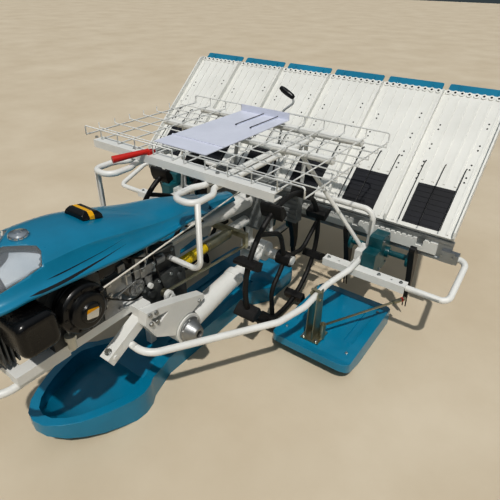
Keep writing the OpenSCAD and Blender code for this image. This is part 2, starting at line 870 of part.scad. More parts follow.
// Thin rods that hold the mats down, on a cross rod with feet on the dividers
module press_rods() {
    color("silver")
    on_platform() {
        rod([-plat_hw + 4, press_y, press_z], [plat_hw - 4, press_y, press_z], 4);
        for (i = [0 : 6])
            translate([(i - 3) * row_pitch + (i == 0 ? 4 : i == 6 ? -4 : 0), press_y, divider_h + gap])
                cylinder(h = press_z - divider_h - gap, r = 4);
        for (i = [0 : 5])
            for (x = [-85, 0, 85])
                rod([(i - 2.5) * row_pitch + x, press_y, press_z], [(i - 2.5) * row_pitch + x, 14, 32], 2.5);
    }
}

guide_y = 440;
guide_depth = 78;
guide_r = 12;

// Cross bars and the two slide hangers behind the platform
module platform_frame() {
    color("lightgray")
    on_platform()
        difference() {
            union() {
                for (y = [44, guide_y - 20, plat_l - 70])
                    block([-plat_hw + 10, y, -panel_t - 25], [plat_hw - 10, y + 40, -panel_t - gap]);
                for (x = [-660, 0, 660])
                    block([x - 12, 83, -panel_t - 22], [x + 12, plat_l - 69, -panel_t - gap]);
                for (x = [-400, 400])
                    block([x - 18 - plat_shift, guide_y - 24, -guide_depth - 22], [x + 18 - plat_shift, guide_y + 24, -panel_t - 24]);
            }
            rod([-plat_hw, guide_y, -guide_depth], [plat_hw, guide_y, -guide_depth], guide_r + run_gap);
        }
}

// Handle

guide_at = [plat_y + guide_y * cos(plat_slope) + guide_depth * sin(plat_slope),
    plat_z + guide_y * sin(plat_slope) - guide_depth * cos(plat_slope)];
handle_x = 80;
grip_x = 262;
handle_low = 262;
handle_knee = 470;
grip_z = 850;
grip_l = 127;
grip_end = overall_l / 2;
handle_top = [grip_end - 255, 772];
handle_rise = (handle_top[1] - handle_low) / (handle_top[0] - handle_knee);
stay_bar_y = handle_top[0] - 30;
stay_bar_z = handle_low + (stay_bar_y - handle_knee) * handle_rise;

module handle_frame() {
    color("whitesmoke") {
        both_sides() {
            bent_tube([[handle_x, beam_y0 + 25, beam_z0 - gap], [handle_x, beam_y0 + 25, handle_low],
                [handle_x, handle_knee, handle_low], [handle_x, handle_top[0], handle_top[1]],
                [grip_x, grip_end - grip_l - 48, grip_z], [grip_x, grip_end - 12, grip_z]], handle_r, 45);
            rod([handle_x, guide_at[0], handle_low + (guide_at[0] - handle_knee) * handle_rise], [handle_x, guide_at[0], guide_at[1]], 10);
        }
        rod([-620, guide_at[0], guide_at[1]], [620, guide_at[0], guide_at[1]], guide_r);
        rod([-handle_x, stay_bar_y, stay_bar_z], [handle_x, stay_bar_y, stay_bar_z], 11);
    }
}

module handle_grips() {
    color([0.1, 0.1, 0.1])
    both_sides()
        translate([grip_x, grip_end, grip_z])
            rotate([90, 0, 0])
                difference() {
                    rotate_extrude()
                        polygon(concat([[0, 0], [14, 0], [18, 4]],
                            [for (i = [0 : 6]) each [[18, 12 + i * 15], [16.5, 16 + i * 15], [18, 20 + i * 15]]],
                            [[20, grip_l - 5], [20, grip_l], [0, grip_l]]));
                    translate([0, 0, 12 - gap])
                        cylinder(h = grip_l, r = handle_r + gap);
                }
}

// Control box between the handle tubes, with its two small levers
module rear_panel() {
    panel_hw = handle_x - handle_r - 6;
    color([0.15, 0.15, 0.15])
    translate([0, stay_bar_y, stay_bar_z]) {
        side_profile(-panel_hw, panel_hw, [[12, 31], [86, 31], [90, 63], [60, 95], [5, 85], [0, 43]]);
        for (x = [-34, 34]) {
            rod([x, 45, 78], [x, 75, 143], 4);
            translate([x, 77, 147])
                sphere(r = 11);
        }
        block([-20, -10, 11 + gap], [20, 25, 39]);
    }
}

// Guards and beams

channel_y0 = 138;
channel_y1 = 184;
channel_z0 = 270;
channel_z1 = 304;
channel_x0 = 412;
channel_x1 = 784;

guard_from = [bar_x + bar_w / 2 + gap, -752, 324];
guard_high = channel_z1 + guard_r + 2;
guard_path = [guard_from, guard_from + [70, 0, -6], [484, -335, guard_z], [plate_x, -200, guard_z], [plate_x, -20, guard_z],
    [arch_x, 100, guard_high], [arch_x, channel_y1 + 29 - gap, guard_high]];

guard_out = rail_hl + 80 - guard_r;

// Guard tubes along the sides, and short ones round the ends of the gate rail
module side_guards() {
    color("whitesmoke")
    both_sides() {
        bent_tube(guard_path, guard_r, 80);
        bent_tube([[channel_x1 + gap, (channel_y0 + channel_y1) / 2, channel_z1 - guard_r - 2],
            [guard_out, (channel_y0 + channel_y1) / 2, channel_z1 - guard_r - 2],
            [guard_out, gate_y + 5, rail_bottom + 29], [rail_hl + 32 + gap, gate_y + 5, rail_bottom + 29]], guard_r, 34);
    }
}

gusset_x0 = 526;
gusset_z = 352;
gusset_x1 = 2 * row_pitch - case_hx - gap;
beam_hole_r = 5.5;
beam_hole_pitch = 240;
beam_hole_x = 600;

// Channels across the side floats, with mounting holes and the gussets for tube and brace
module float_beams() {
    color("whitesmoke")
    both_sides() {
        difference() {
            block([channel_x0, channel_y0, channel_z0], [channel_x1, channel_y1, channel_z1]);
            block([channel_x0 - 1, channel_y0 + 5, channel_z0 - 1], [channel_x1 + 1, channel_y1 - 5, channel_z1 - 6]);
            for (x = [beam_hole_x - beam_hole_pitch / 2, beam_hole_x + beam_hole_pitch / 2])
                translate([x, (channel_y0 + channel_y1) / 2, channel_z1 - 8])
                    cylinder(h = 10, r = beam_hole_r);
        }
        side_profile(gusset_x0, gusset_x1, [[channel_y1 - 1, channel_z0], [crank_pin[0] - shaft_disc_r - 14, channel_z0],
            [crank_pin[0] - shaft_disc_r - 1.5, channel_z0 + 16], [crank_pin[0] - shaft_disc_r - 1.5, gusset_z], [channel_y1 + 29, gusset_z],
            [channel_y1 + 29, channel_z1 - 2], [channel_y1 - 1, channel_z1 - 2]]);
    }
}

// Seedling racks

rack_z = loop_z + loop_r;
bar_r = 15;
leg_z = rack_z - 30 - loop_r - gap;
mid_y = 58;
rear_y = 318;
leg_in = 172;
leg_out = 214;
loop_in = 152;
loop_out = 246;
post_x = (leg_in + leg_out) / 2;

// Bent loops ahead of the racks with their legs and stays
module rack_loops() {
    color("whitesmoke")
    both_sides() {
        bent_tube([[leg_in, rear_y + 14, leg_z], [leg_in, -355, leg_z], [loop_in, -400, leg_z], [loop_in, -497, leg_z],
            [loop_out, -497, leg_z], [loop_out, -400, leg_z], [leg_out, -355, leg_z], [leg_out, rear_y + 14, leg_z]],
            loop_r, 40);
        bent_tube([[loop_out, stay_y, leg_z], [loop_out, stay_y, stay_z], [upper_hw + gap, stay_y, stay_z]], 10.4, 42);
    }
}

// Front beam and cross bars under the racks, with posts to the cross tube and braces to the gussets
module rack_bars() {
    color("whitesmoke") {
        difference() {
            block([beam_shift - beam_hl, -350, rack_z - 30], [beam_shift + beam_hl, -300, rack_z]);
            block([beam_shift - beam_hl - 1, -346, rack_z - 26], [beam_shift + beam_hl + 1, -299, rack_z - 4]);
        }
        both_sides()
            difference() {
                rod([306, mid_y, rack_z - bar_r], [gusset_x0 + 22, 262, gusset_z - 20], 9);
                rod([200, mid_y, rack_z - bar_r], [400, mid_y, rack_z - bar_r], bar_r + gap);
                block([gusset_x0 - 60, 200, 200], [gusset_x1 + 10, 360, gusset_z + gap]);
            }
        for (y = [mid_y, rear_y])
            rod([beam_shift - beam_hl, y, rack_z - bar_r], [beam_shift + beam_hl, y, rack_z - bar_r], bar_r);
        for (x = [-post_x, post_x])
            difference() {
                rod([x, cross_y, cross_z], [x, rear_y, rack_z - bar_r], 9.5);
                rod([x - 20, cross_y, cross_z], [x + 20, cross_y, cross_z], guard_r + gap);
            }
    }
}

basket_y0 = -330;
basket_y1 = 348;
basket_step = (basket_y1 - basket_y0) / 8;
basket_in = basket_space / 2;
basket_out = basket_in + basket_w;

// Wire basket for spare seedling mats, with stepped ends along its outer side
module basket() {
    z0 = rack_z + gap + wire_r;
    z1 = z0 + basket_h;
    w = basket_w;
    color("white") {
        for (i = [0 : 5])
            rod([basket_in + w * i / 5, basket_y0, z0], [basket_in + w * i / 5, basket_y1, z0], wire_r);
        for (i = [1 : 7])
            rod([basket_in, basket_y0 + basket_step * i, z0 + 1.5 * wire_r],
                [basket_out + 24, basket_y0 + basket_step * i, z0 + 1.5 * wire_r], 0.9 * wire_r);
        for (i = [1 : 7])
            rod([basket_out + 22, basket_y0 + basket_step * i, z0 + wire_r],
                [basket_out + 22, basket_y0 + basket_step * i, z0 + 26], 0.8 * wire_r);
        for (y = [basket_y0, basket_y1])
            bent_tube([[basket_in, y, z1], [basket_out, y, z1], [basket_out, y, z0]], wire_r, 9);
        for (i = [0 : 4], y = [basket_y0, basket_y1])
            rod([basket_in + w * i / 5, y, z0], [basket_in + w * i / 5, y, z1], 0.8 * wire_r);
    }
}

module baskets() {
    translate([basket_shift, 0, 0])
        both_sides()
            basket();
}

plate_x0 = -188;
plate_x1 = 80;
plate_y0 = -240;
plate_y1 = 340;
plate_t = 3;
plate_z = rack_z + gap + 3.4 * wire_r + gap;

// Sheet on the baskets' inner edges, folded up at the rear, with a strap across it and two rods lying on it
module rack_plate() {
    color("gainsboro") {
        block([plate_x0, plate_y0, plate_z], [plate_x1, plate_y1, plate_z + plate_t]);
        block([plate_x0, plate_y1 - plate_t, plate_z], [plate_x1, plate_y1, plate_z + 34]);
        block([plate_x0, -138, plate_z + plate_t - 1], [plate_x1, -132, plate_z + plate_t + 4]);
        for (x = [-62, 16])
            block([x, 130, plate_z + plate_t - 1], [x + 6, plate_y1 - 1, plate_z + plate_t + 5]);
    }
}

// Controls

module gear_lever() {
    color([0.12, 0.12, 0.12]) {
        bent_tube([[16, cross_y + guard_r + 8, cross_z], [10, 394, 760], [8, 400, 832], [66, 400, 878], [48, 400, 906]], 5, 16);
        translate([48, 400, 905])
            rotate([0, -64, 0])
                rotate_extrude()
                    polygon([[0, -16], [8, -14], [12, -6], [14, 20], [13, 52], [9, 66], [0, 70]]);
        block([4, cross_y + guard_r + gap, cross_z - 12], [28, cross_y + guard_r + 14, cross_z + 12]);
    }
}

module brake_lever() {
    color("red") {
        block([-128, -344, rack_z + gap], [-106, -310, rack_z + 13]);
        translate([-117, -334, rack_z + 12.5])
            rotate([94, 0, -23])
                cylinder(h = 138, r1 = 9, r2 = 13);
    }
}

rope_from = [184, -crank_y + 54, crank_z + 42.5];
rope_to = [72, -7, case_top + 51];

// Starter rope, its knot at the starter and the guide plate on the rear case with the pull grip
module starter_rope() {
    color("white") {
        rod(rope_from, rope_to, 3);
        translate(rope_from)
            sphere(r = 4);
        side_profile(rope_to[0] - 3, rope_to[0] + 3, [[rope_to[1] - 4, rope_to[2] - 8], [rope_to[1] + 40, rope_to[2] - 8],
            [case_y + 30, case_top + gap], [beam_y0 - 4, case_top + gap], [beam_y0 - 4, case_top + 8],
            [case_y + 30, case_top + 14], [rope_to[1] + 40, rope_to[2] + 8], [rope_to[1] - 4, rope_to[2] + 8]]);
        rod([rope_to[0], rope_to[1] + 2, rope_to[2]], [rope_to[0], rope_to[1] + 34, rope_to[2]], 8);
    }
}

// Swing cases

lever_eye = [-pivot_y - 32, pivot_z + 152];
cone_from = 54;
swing_len = norm([pivot_y, axle_z - pivot_z]);
swing_angle = atan2(axle_z - pivot_z, pivot_y);

// Chain case from the pivot journal to the axle, with its lever and the wheel axle
module swing_case() {
    color("whitesmoke") {
        difference() {
            union() {
                x_cyl(swing_x0, -pivot_y, pivot_z, swing_w, 60);
                translate([swing_x, -pivot_y, pivot_z])
                    rotate([swing_angle, 0, 0])
                        rotate([-90, 0, 0]) {
                            translate([0, 0, cone_from])
                                cylinder(h = 300 - cone_from, r1 = swing_r_front, r2 = swing_r_rear);
                            translate([0, 0, 299])
                                cylinder(h = 30, r = swing_r_rear + 3);
                            translate([0, 0, 328])
                                cylinder(h = swing_len - 328, r = 26);
                        }
                x_cyl(swing_x0 + 2, 0, axle_z, swing_w - 4, 44);
                translate([swing_x0, 0, 0])
                    rotate([90, 0, 90])
                        linear_extrude(height = 16)
                            difference() {
                                union() {
                                    translate(lever_eye)
                                        circle(r = 18);
                                    polygon([lever_eye + [-18, 0], lever_eye + [18, 0], [-pivot_y + 40, pivot_z + 30],
                                        [-pivot_y - 44, pivot_z + 30]]);
                                }
                                translate(lever_eye)
                                    circle(r = 8);
                            }
            }
            x_cyl(swing_x0 - 1, -pivot_y, pivot_z, swing_w + 2, journal_r + run_gap);
        }
        x_cyl(swing_x1 - 3, 0, axle_z, wheel_x - hub_l / 2 - 1 - swing_x1 + 3, 21);
        x_cyl(swing_x1 - 3, 0, axle_z, wheel_x + hub_l / 2 + 8 - swing_x1 + 3, axle_r);
        x_cyl(wheel_x + hub_l / 2 + 1, 0, axle_z, 6, 20);
    }
}

module swing_case_left() {
    swing_case();
}

module swing_case_right() {
    on_side(-1)
        swing_case();
}

// Wheels

ring_r = wheel_r - 40;

// One wheel: hub, curved spokes, ring and paddle lugs
module wheel() {
    color([0.09, 0.09, 0.09])
    translate([wheel_x, 0, axle_z])
        rotate([0, 90, 0])
            difference() {
                union() {
                    rotate_extrude()
                        translate([ring_r, 0])
                            circle(r = ring_bar_r);
                    translate([0, 0, -hub_l / 2])
                        cylinder(h = hub_l, r = hub_r);
                    for (i = [0 : 2])
                        rotate([0, 0, 120 * i + 90])
                            bent_tube([[hub_r - 8, 0, 0], [ring_r * 0.52, -30, 0], [ring_r * cos(14), ring_r * sin(14), 0]],
                                ring_bar_r - 1, 90);
                    for (i = [0 : lug_count - 1])
                        rotate([0, 0, 360 / lug_count * (i + 0.5)])
                            translate([0, 0, -lug_w / 2])
                                linear_extrude(height = lug_w)
                                    polygon([[ring_r - 20, -lug_t / 2], [ring_r + 6, -lug_t / 2],
                                        [wheel_r - 6, -lug_t / 2 + 7], [wheel_r, -4], [wheel_r, 4],
                                        [wheel_r - 6, lug_t / 2 - 7], [ring_r + 6, lug_t / 2], [ring_r - 20, lug_t / 2]]);
                }
                translate([0, 0, -hub_l / 2 - 1])
                    cylinder(h = hub_l + 2, r = axle_r + run_gap);
            }
}

module wheel_left() {
    wheel();
}

module wheel_right() {
    on_side(-1)
        wheel();
}

// Line markers

marker_x = 558;
marker_y = -104;
marker_z = 157;
marker_tip = [773, 241, marker_z + 23];

// Marker rod on its post, with the sleeve at its tip
module marker() {
    color("silver")
    difference() {
        union() {
            translate([marker_x, marker_y, marker_z - 11])
                cylinder(h = 18, r = 13);
            rod([marker_x, marker_y, marker_z], marker_tip, 5);
            rod(marker_tip - 62 * unit(marker_tip - [marker_x, marker_y, marker_z]), marker_tip, 9);
        }
        translate([marker_x, marker_y, marker_z - 30])
            cylinder(h = 60, r = 6 + run_gap);
    }
}

module marker_left() {
    marker();
}

module marker_right() {
    on_side(-1)
        marker();
}

centre_float();
side_floats();
float_link();
float_brackets();
engine_block();
muffler_cover();
recoil_starter();
fuel_strainer();
engine_frame();
front_bumper();
bonnet();
headlamps();
fuel_cap();
bonnet_cap();
transmission_case();
pivot_covers();
lift_cylinder();
cylinder_spring();
drive_shaft();
rear_case();
cross_beam();
cross_tube();
planting_cases();
planting_arms();
gate_rail();
seed_gate();
platform_panel();
mat_belts();
extension_tabs();
press_rods();
platform_frame();
handle_frame();
handle_grips();
rear_panel();
side_guards();
float_beams();
rack_loops();
rack_bars();
baskets();
rack_plate();
gear_lever();
brake_lever();
starter_rope();
swing_case_left();
swing_case_right();
wheel_left();
wheel_right();
marker_left();
marker_right();
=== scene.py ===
import json
import math

import bmesh
import bpy
from mathutils import Matrix, Vector


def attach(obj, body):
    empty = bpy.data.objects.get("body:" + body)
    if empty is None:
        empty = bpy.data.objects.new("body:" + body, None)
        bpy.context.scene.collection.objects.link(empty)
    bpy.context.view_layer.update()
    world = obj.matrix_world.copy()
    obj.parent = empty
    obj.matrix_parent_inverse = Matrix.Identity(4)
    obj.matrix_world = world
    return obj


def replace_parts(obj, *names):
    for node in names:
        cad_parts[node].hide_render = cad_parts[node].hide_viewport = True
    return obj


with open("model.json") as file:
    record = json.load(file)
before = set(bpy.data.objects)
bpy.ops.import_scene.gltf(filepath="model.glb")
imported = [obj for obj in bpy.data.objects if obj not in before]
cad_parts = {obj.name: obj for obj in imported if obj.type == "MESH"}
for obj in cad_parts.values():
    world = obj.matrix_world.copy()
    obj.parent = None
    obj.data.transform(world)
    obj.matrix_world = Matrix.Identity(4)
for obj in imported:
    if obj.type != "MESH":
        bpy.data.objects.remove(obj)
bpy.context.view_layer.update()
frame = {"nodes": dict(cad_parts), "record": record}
print("frame loaded:", len(frame["nodes"]), "nodes")


# camera as the photograph was taken: standing at the machine's left front corner, looking down at it
shot = {
    "place": (1.1384, -1.4414, 1.3870),
    "heading": math.radians(35.42),  # from +Y towards -X
    "tilt": math.radians(31.51),  # below the horizon
    "roll": math.radians(0.78),
    "focalPixels": 454.94,
    "pictureWidth": 500,
    "sensor": 36.0,
    "nearest": 0.05,
}


def makeCamera(s):
    look = Vector((-math.sin(s["heading"]) * math.cos(s["tilt"]),
                   math.cos(s["heading"]) * math.cos(s["tilt"]), -math.sin(s["tilt"])))
    across = Vector((math.cos(s["heading"]), math.sin(s["heading"]), 0))
    above = across.cross(look)
    right = across * math.cos(s["roll"]) + above * math.sin(s["roll"])
    up = above * math.cos(s["roll"]) - across * math.sin(s["roll"])
    camera = bpy.data.objects.new("photoCamera", bpy.data.cameras.new("photoCamera"))
    camera.data.sensor_width = s["sensor"]
    camera.data.lens = s["focalPixels"] / s["pictureWidth"] * s["sensor"]
    camera.data.clip_start = s["nearest"]
    turn = Matrix((right, up, -look)).transposed().to_4x4()
    camera.matrix_world = Matrix.Translation(s["place"]) @ turn
    bpy.context.scene.collection.objects.link(camera)
    bpy.context.scene.camera = camera


makeCamera(shot)


# studio: a pale floor, a soft sky, a sun and one large soft lamp
studio = {
    "viewTransform": "Standard",
    "look": "Medium High Contrast",
    "floorSize": 60.0,
    "floorStops": [(0.3, "#c0b29b"), (0.7, "#cdc1ac")],
    "floorMottle": 1.4,  # patches of about 0.7 m
    "floorRough": 0.85,
    "skyStops": [(0.0, "#5f6a6e"), (0.30, "#9ba8b2"), (0.85, "#e6eef6")],  # darker towards the horizon
    "skyStrength": 0.40,
    "sunStrength": 2.25,
    "sunHex": "#fffaf3",
    "sunAngle": 1.4,  # degrees across, for soft shadows
    "sunFrom": (0.34, -0.48, 1.0),
    "fillPower": 8.0,
    "fillSize": 4.0,
    "fillPlace": (3.2, -3.0, 3.6),
    "fillAim": (0, 0, 0.3),
}


def linearColour(hexColour):
    parts = [int(hexColour[i:i + 2], 16) / 255 for i in (1, 3, 5)]
    return tuple(c / 12.92 if c <= 0.04045 else ((c + 0.055) / 1.055) ** 2.4 for c in parts) + (1.0,)


def addNode(tree, kind, settings=None, links=None, stops=None):
    node = tree.nodes.new("ShaderNode" + kind)
    for name, value in (settings or {}).items():
        if isinstance(name, int) or name in node.inputs:
            socket = node.inputs[name]
            socket.default_value = linearColour(value) if isinstance(value, str) else value
        else:
            setattr(node, name, value)
    for name, source in (links or {}).items():
        tree.links.new(source, node.inputs[name])
    if stops:
        ramp = node.color_ramp
        while len(ramp.elements) < len(stops):
            ramp.elements.new(0.5)
        for element, (place, colour) in zip(ramp.elements, stops):
            element.position = place
            element.color = linearColour(colour)
    return node


def startMaterial(name):
    made = bpy.data.materials.new(name)
    made.use_nodes = True
    tree = made.node_tree
    tree.nodes.clear()
    place = addNode(tree, "TexCoord").outputs["Object"]
    shader = addNode(tree, "BsdfPrincipled")
    output = addNode(tree, "OutputMaterial")
    tree.links.new(shader.outputs["BSDF"], output.inputs["Surface"])
    return made, tree, place, shader


def makeStudio(s):
    scene = bpy.context.scene
    scene.view_settings.view_transform = s["viewTransform"]
    scene.view_settings.look = s["look"]
    world = bpy.data.worlds.new("softSky")
    scene.world = world
    world.use_nodes = True
    background = world.node_tree.nodes["Background"]
    upward = addNode(world.node_tree, "TexCoord").outputs["Generated"]
    height = addNode(world.node_tree, "SeparateXYZ", links={"Vector": upward})
    sky = addNode(world.node_tree, "ValToRGB", links={0: height.outputs["Z"]}, stops=s["skyStops"])
    world.node_tree.links.new(sky.outputs["Color"], background.inputs["Color"])
    background.inputs["Strength"].default_value = s["skyStrength"]
    sun = bpy.data.objects.new("sun", bpy.data.lights.new("sun", "SUN"))
    sun.data.energy = s["sunStrength"]
    sun.data.color = linearColour(s["sunHex"])[:3]
    sun.data.angle = math.radians(s["sunAngle"])
    sun.rotation_euler = Vector(s["sunFrom"]).to_track_quat("Z", "Y").to_euler()
    fill = bpy.data.objects.new("fill", bpy.data.lights.new("fill", "AREA"))
    fill.data.energy = s["fillPower"]
    fill.data.size = s["fillSize"]
    fill.location = s["fillPlace"]
    away = Vector(s["fillPlace"]) - Vector(s["fillAim"])
    fill.rotation_euler = away.to_track_quat("Z", "Y").to_euler()
    for lamp in (sun, fill):
        scene.collection.objects.link(lamp)
    bpy.ops.mesh.primitive_plane_add(size=s["floorSize"])
    floor = bpy.context.object
    floor.name = "floor"
    # floated concrete: pale, matt, with wide soft patches
    made, tree, place, shader = startMaterial("paleConcreteFloor")
    mottle = addNode(tree, "TexNoise", {"Scale": s["floorMottle"], "Detail": 6.0, "Roughness": 0.6},
                     {"Vector": place})
    tone = addNode(tree, "ValToRGB", links={"Fac": mottle.outputs["Fac"]}, stops=s["floorStops"])
    tree.links.new(tone.outputs["Color"], shader.inputs["Base Color"])
    shader.inputs["Roughness"].default_value = s["floorRough"]
    floor.data.materials.append(made)


makeStudio(studio)
print("camera and studio done")


# what a finish has unless it says otherwise; each Scale counts pattern cells in a metre
usualFinish = {
    "driftScale": 7.0,  # patches of about 140 mm
    "driftSpread": (0.32, 0.68),
    "dustScale": 38.0,  # drifts of about 26 mm
    "dustSpread": (0.42, 0.75),
    "dust": 0.12,
    "dustHex": "#b9ad97",
    "dustSides": 0.25,  # share of the dust that sides and undersides keep
    "roughSpread": (-0.05, 0.10),
    "grainScale": 900.0,  # about a millimetre each, coarser than the real skin, so that it shows
    "grain": 0.05,
    "grainHeight": 0.0006,
    "metal": 0.0,
    "coat": 0.0,
}

finishes = {
    # ASA from a polished mould, blue-green: one even colour and a clear soft-edged gloss
    "tealMoulding": {"dark": "#006e8c", "light": "#007ea1", "rough": 0.28, "coat": 0.3, "dust": 0.01, "ior": 1.49,
                     "driftScale": 3.0, "dustHex": "#7d97a0"},
    # baked enamel, thin over the planting cases' castings: darker teal with a broken gloss
    "tealEnamel": {"dark": "#003f47", "light": "#00575f", "rough": 0.30, "dust": 0.06},
    # polyester powder coat on bent steel tube: off-white with a faint orange peel
    "whitePowderCoat": {"dark": "#d3d4d1", "light": "#dddedb", "rough": 0.36, "dust": 0.06,
                        "grainScale": 500.0, "grain": 0.08},
    # primer-like enamel on sand-cast gear cases: dull grey that shows the casting's grain
    "greyCastEnamel": {"dark": "#6c7071", "light": "#868a8a", "rough": 0.45, "dust": 0.2,
                       "grainScale": 320.0, "grain": 0.25},
    # enamel on the cast cases under the bonnet, painted almost black as painted shade from the bonnet above it:
    # patchy
    "stainedCastEnamel": {"dark": "#26292b", "light": "#4d5152", "rough": 0.38, "dust": 0.08, "driftScale": 18.0,
                          "grainScale": 320.0, "grain": 0.3},
    # gravity-cast aluminium: dull grey metal with rough highlights
    "castAluminium": {"dark": "#696b6d", "light": "#a6a8a9", "rough": 0.42, "metal": 0.85, "dust": 0.18,
                      "dustHex": "#5d5a53", "grainScale": 260.0, "grain": 0.35},
    # oiled iron castings of the planting arms: near black with a low sheen
    "darkIron": {"dark": "#0b0c0e", "light": "#141517", "rough": 0.40, "metal": 0.2, "dust": 0.03,
                 "grainScale": 260.0, "grain": 0.25},
    # yellow-passivated zinc plate: straw-coloured metal, half dull
    "zincPlate": {"dark": "#8f8c76", "light": "#b0ad97", "rough": 0.33, "metal": 0.9, "dust": 0.15},
    # bright zinc plate on bolts and thin parts: small sharp glints
    "brightZinc": {"dark": "#9a9c9c", "light": "#bdbfbf", "rough": 0.28, "metal": 0.95, "dust": 0.08},
    # drawn spring wire browned by oil: a dark line with a thin glint
    "darkWire": {"dark": "#202123", "light": "#38393a", "rough": 0.34, "metal": 0.7, "dust": 0.04},
    # extruded aluminium, satin anodised: an even soft metal grey
    "anodisedAluminium": {"dark": "#8d9194", "light": "#a6aaad", "rough": 0.32, "metal": 0.85, "dust": 0.1},
    # glass-filled nylon, moulded: satin black
    "blackNylon": {"dark": "#050506", "light": "#0b0c0d", "rough": 0.27, "dust": 0.01,
                   "grainScale": 420.0, "grain": 0.12},
    # heat-proof enamel on the pressed silencer box: deep black with clear reflections
    "blackEnamel": {"dark": "#020203", "light": "#060607", "rough": 0.24, "dust": 0.005},
    # vulcanised rubber with dried dust: flat black, greyer where it faces up
    "blackRubber": {"dark": "#08080a", "light": "#101011", "rough": 0.55, "dust": 0.03,
                    "grainScale": 380.0, "grain": 0.3},
    # calendered belt rubber: blue-black without shine
    "beltRubber": {"dark": "#04060e", "light": "#090d1a", "rough": 0.6, "dust": 0.01, "dustHex": "#454a5a",
                   "grainScale": 600.0, "grain": 0.2},
    # injection-moulded polypropylene: waxy off-white
    "whitePolypropylene": {"dark": "#d6d7d3", "light": "#e0e1dd", "rough": 0.42, "dust": 0.06, "driftScale": 4.0},
    # vacuum-metallised lamp bowl: silver that mirrors light and dark sharply
    "lampReflector": {"dark": "#dde5ea", "light": "#ffffff", "rough": 0.10, "metal": 0.8, "dust": 0.01, "coat": 0.6},
    # moulded fuel bowl, yellowed by petrol: pale amber gloss
    "amberBowl": {"dark": "#b7b3a0", "light": "#d5d2c3", "rough": 0.16, "dust": 0.05, "coat": 0.4},
    # sprayed enamel on the cylinder's spring: bright glossy yellow
    "yellowEnamel": {"dark": "#c7a800", "light": "#dfc70e", "rough": 0.30, "dust": 0.08, "coat": 0.2},
    # dip-moulded vinyl sleeve: even red with a soft gloss
    "redVinyl": {"dark": "#b1170f", "light": "#cb2417", "rough": 0.36, "dust": 0.05},
    # vinyl dipped over basket wire: smooth white
    "vinylWire": {"dark": "#cfd1cf", "light": "#dcdedc", "rough": 0.36, "dust": 0.05},
    # braided polyester cord: off-white, matt, rough to the eye
    "whiteCord": {"dark": "#cfcbc0", "light": "#e6e3da", "rough": 0.8, "dust": 0.1,
                  "grainScale": 700.0, "grain": 0.6},
    # sprayed paint on thin steel sheet: cool near-white with wide soft reflections
    "paleSheetPaint": {"dark": "#ccd0de", "light": "#d6dae8", "rough": 0.32, "dust": 0.04, "coat": 0.2},
    # bright nickel plate on a pressed cap and a small plate: light metal, half a mirror
    "brightPlate": {"dark": "#b4b7ba", "light": "#dadddf", "rough": 0.18, "metal": 1.0, "dust": 0.04},
}


def coatedFinish(name, own):
    # body colour drifts a little, dust lies where the surface faces up, and the fine grain is a bump
    s = {**usualFinish, **own}
    made, tree, place, shader = startMaterial(name)
    drift = addNode(tree, "TexNoise", {"Scale": s["driftScale"], "Detail": 5.0, "Roughness": 0.6}, {"Vector": place})
    tone = addNode(tree, "ValToRGB", links={"Fac": drift.outputs["Fac"]},
                   stops=list(zip(s["driftSpread"], (s["dark"], s["light"]))))
    facing = addNode(tree, "SeparateXYZ", links={"Vector": addNode(tree, "NewGeometry").outputs["Normal"]})
    speck = addNode(tree, "TexNoise", {"Scale": s["dustScale"], "Detail": 8.0, "Roughness": 0.75}, {"Vector": place})
    dustFrom, dustFull = s["dustSpread"]
    spread = addNode(tree, "MapRange", {"From Min": dustFrom, "From Max": dustFull, "To Max": s["dust"]},
                     {"Value": speck.outputs["Fac"]})
    upward = addNode(tree, "MapRange", {"From Min": -0.1, "From Max": 0.8, "To Min": s["dustSides"]},
                     {"Value": facing.outputs["Z"]})
    dust = addNode(tree, "Math", {"operation": "MULTIPLY"}, {0: spread.outputs[0], 1: upward.outputs[0]})
    mixed = addNode(tree, "Mix", {"data_type": "RGBA", 7: s["dustHex"]},
                    {0: dust.outputs[0], 6: tone.outputs["Color"]})
    tree.links.new(mixed.outputs[2], shader.inputs["Base Color"])
    smoothest, roughest = (s["rough"] + change for change in s["roughSpread"])
    rough = addNode(tree, "MapRange", {"To Min": smoothest, "To Max": roughest},
                    {"Value": speck.outputs["Fac"]})
    tree.links.new(rough.outputs[0], shader.inputs["Roughness"])
    grain = addNode(tree, "TexNoise", {"Scale": s["grainScale"], "Detail": 3.0}, {"Vector": place})
    bump = addNode(tree, "Bump", {"Strength": s["grain"], "Distance": s["grainHeight"]},
                   {"Height": grain.outputs["Fac"]})
    tree.links.new(bump.outputs["Normal"], shader.inputs["Normal"])
    shader.inputs["Metallic"].default_value = s["metal"]
    shader.inputs["Coat Weight"].default_value = s["coat"]
    if "ior" in s:
        shader.inputs["IOR"].default_value = s["ior"]
    return made


material = {name: coatedFinish(name, own) for name, own in finishes.items()}


def paintMarks(name, base, colour, marks):
    # a copy of a finish with flat marks painted on it; marks builds a 0 to 1 mask from the place
    painted = material[base].copy()
    painted.name = name
    tree = painted.node_tree
    place = addNode(tree, "TexCoord").outputs["Object"]
    axes = addNode(tree, "SeparateXYZ", links={"Vector": place})
    shader = next(n for n in tree.nodes if n.type == "BSDF_PRINCIPLED")
    below = shader.inputs["Base Color"].links[0].from_socket
    mixed = addNode(tree, "Mix", {"data_type": "RGBA", 7: colour}, {0: marks(tree, axes), 6: below})
    tree.links.new(mixed.outputs[2], shader.inputs["Base Color"])
    material[name] = painted


# two thin black stripes low on each side of the bonnet
stripes = {
    # y from and to, z at each, half thickness
    "lines": [(-1.020, -0.680, 0.6800, 0.6690, 0.0026), (-0.960, -0.672, 0.6930, 0.6835, 0.0015)],
    "frontTaper": 0.03,
    "rearTaper": 0.24,
    "outside": 0.12,  # only this far from the middle and further
}


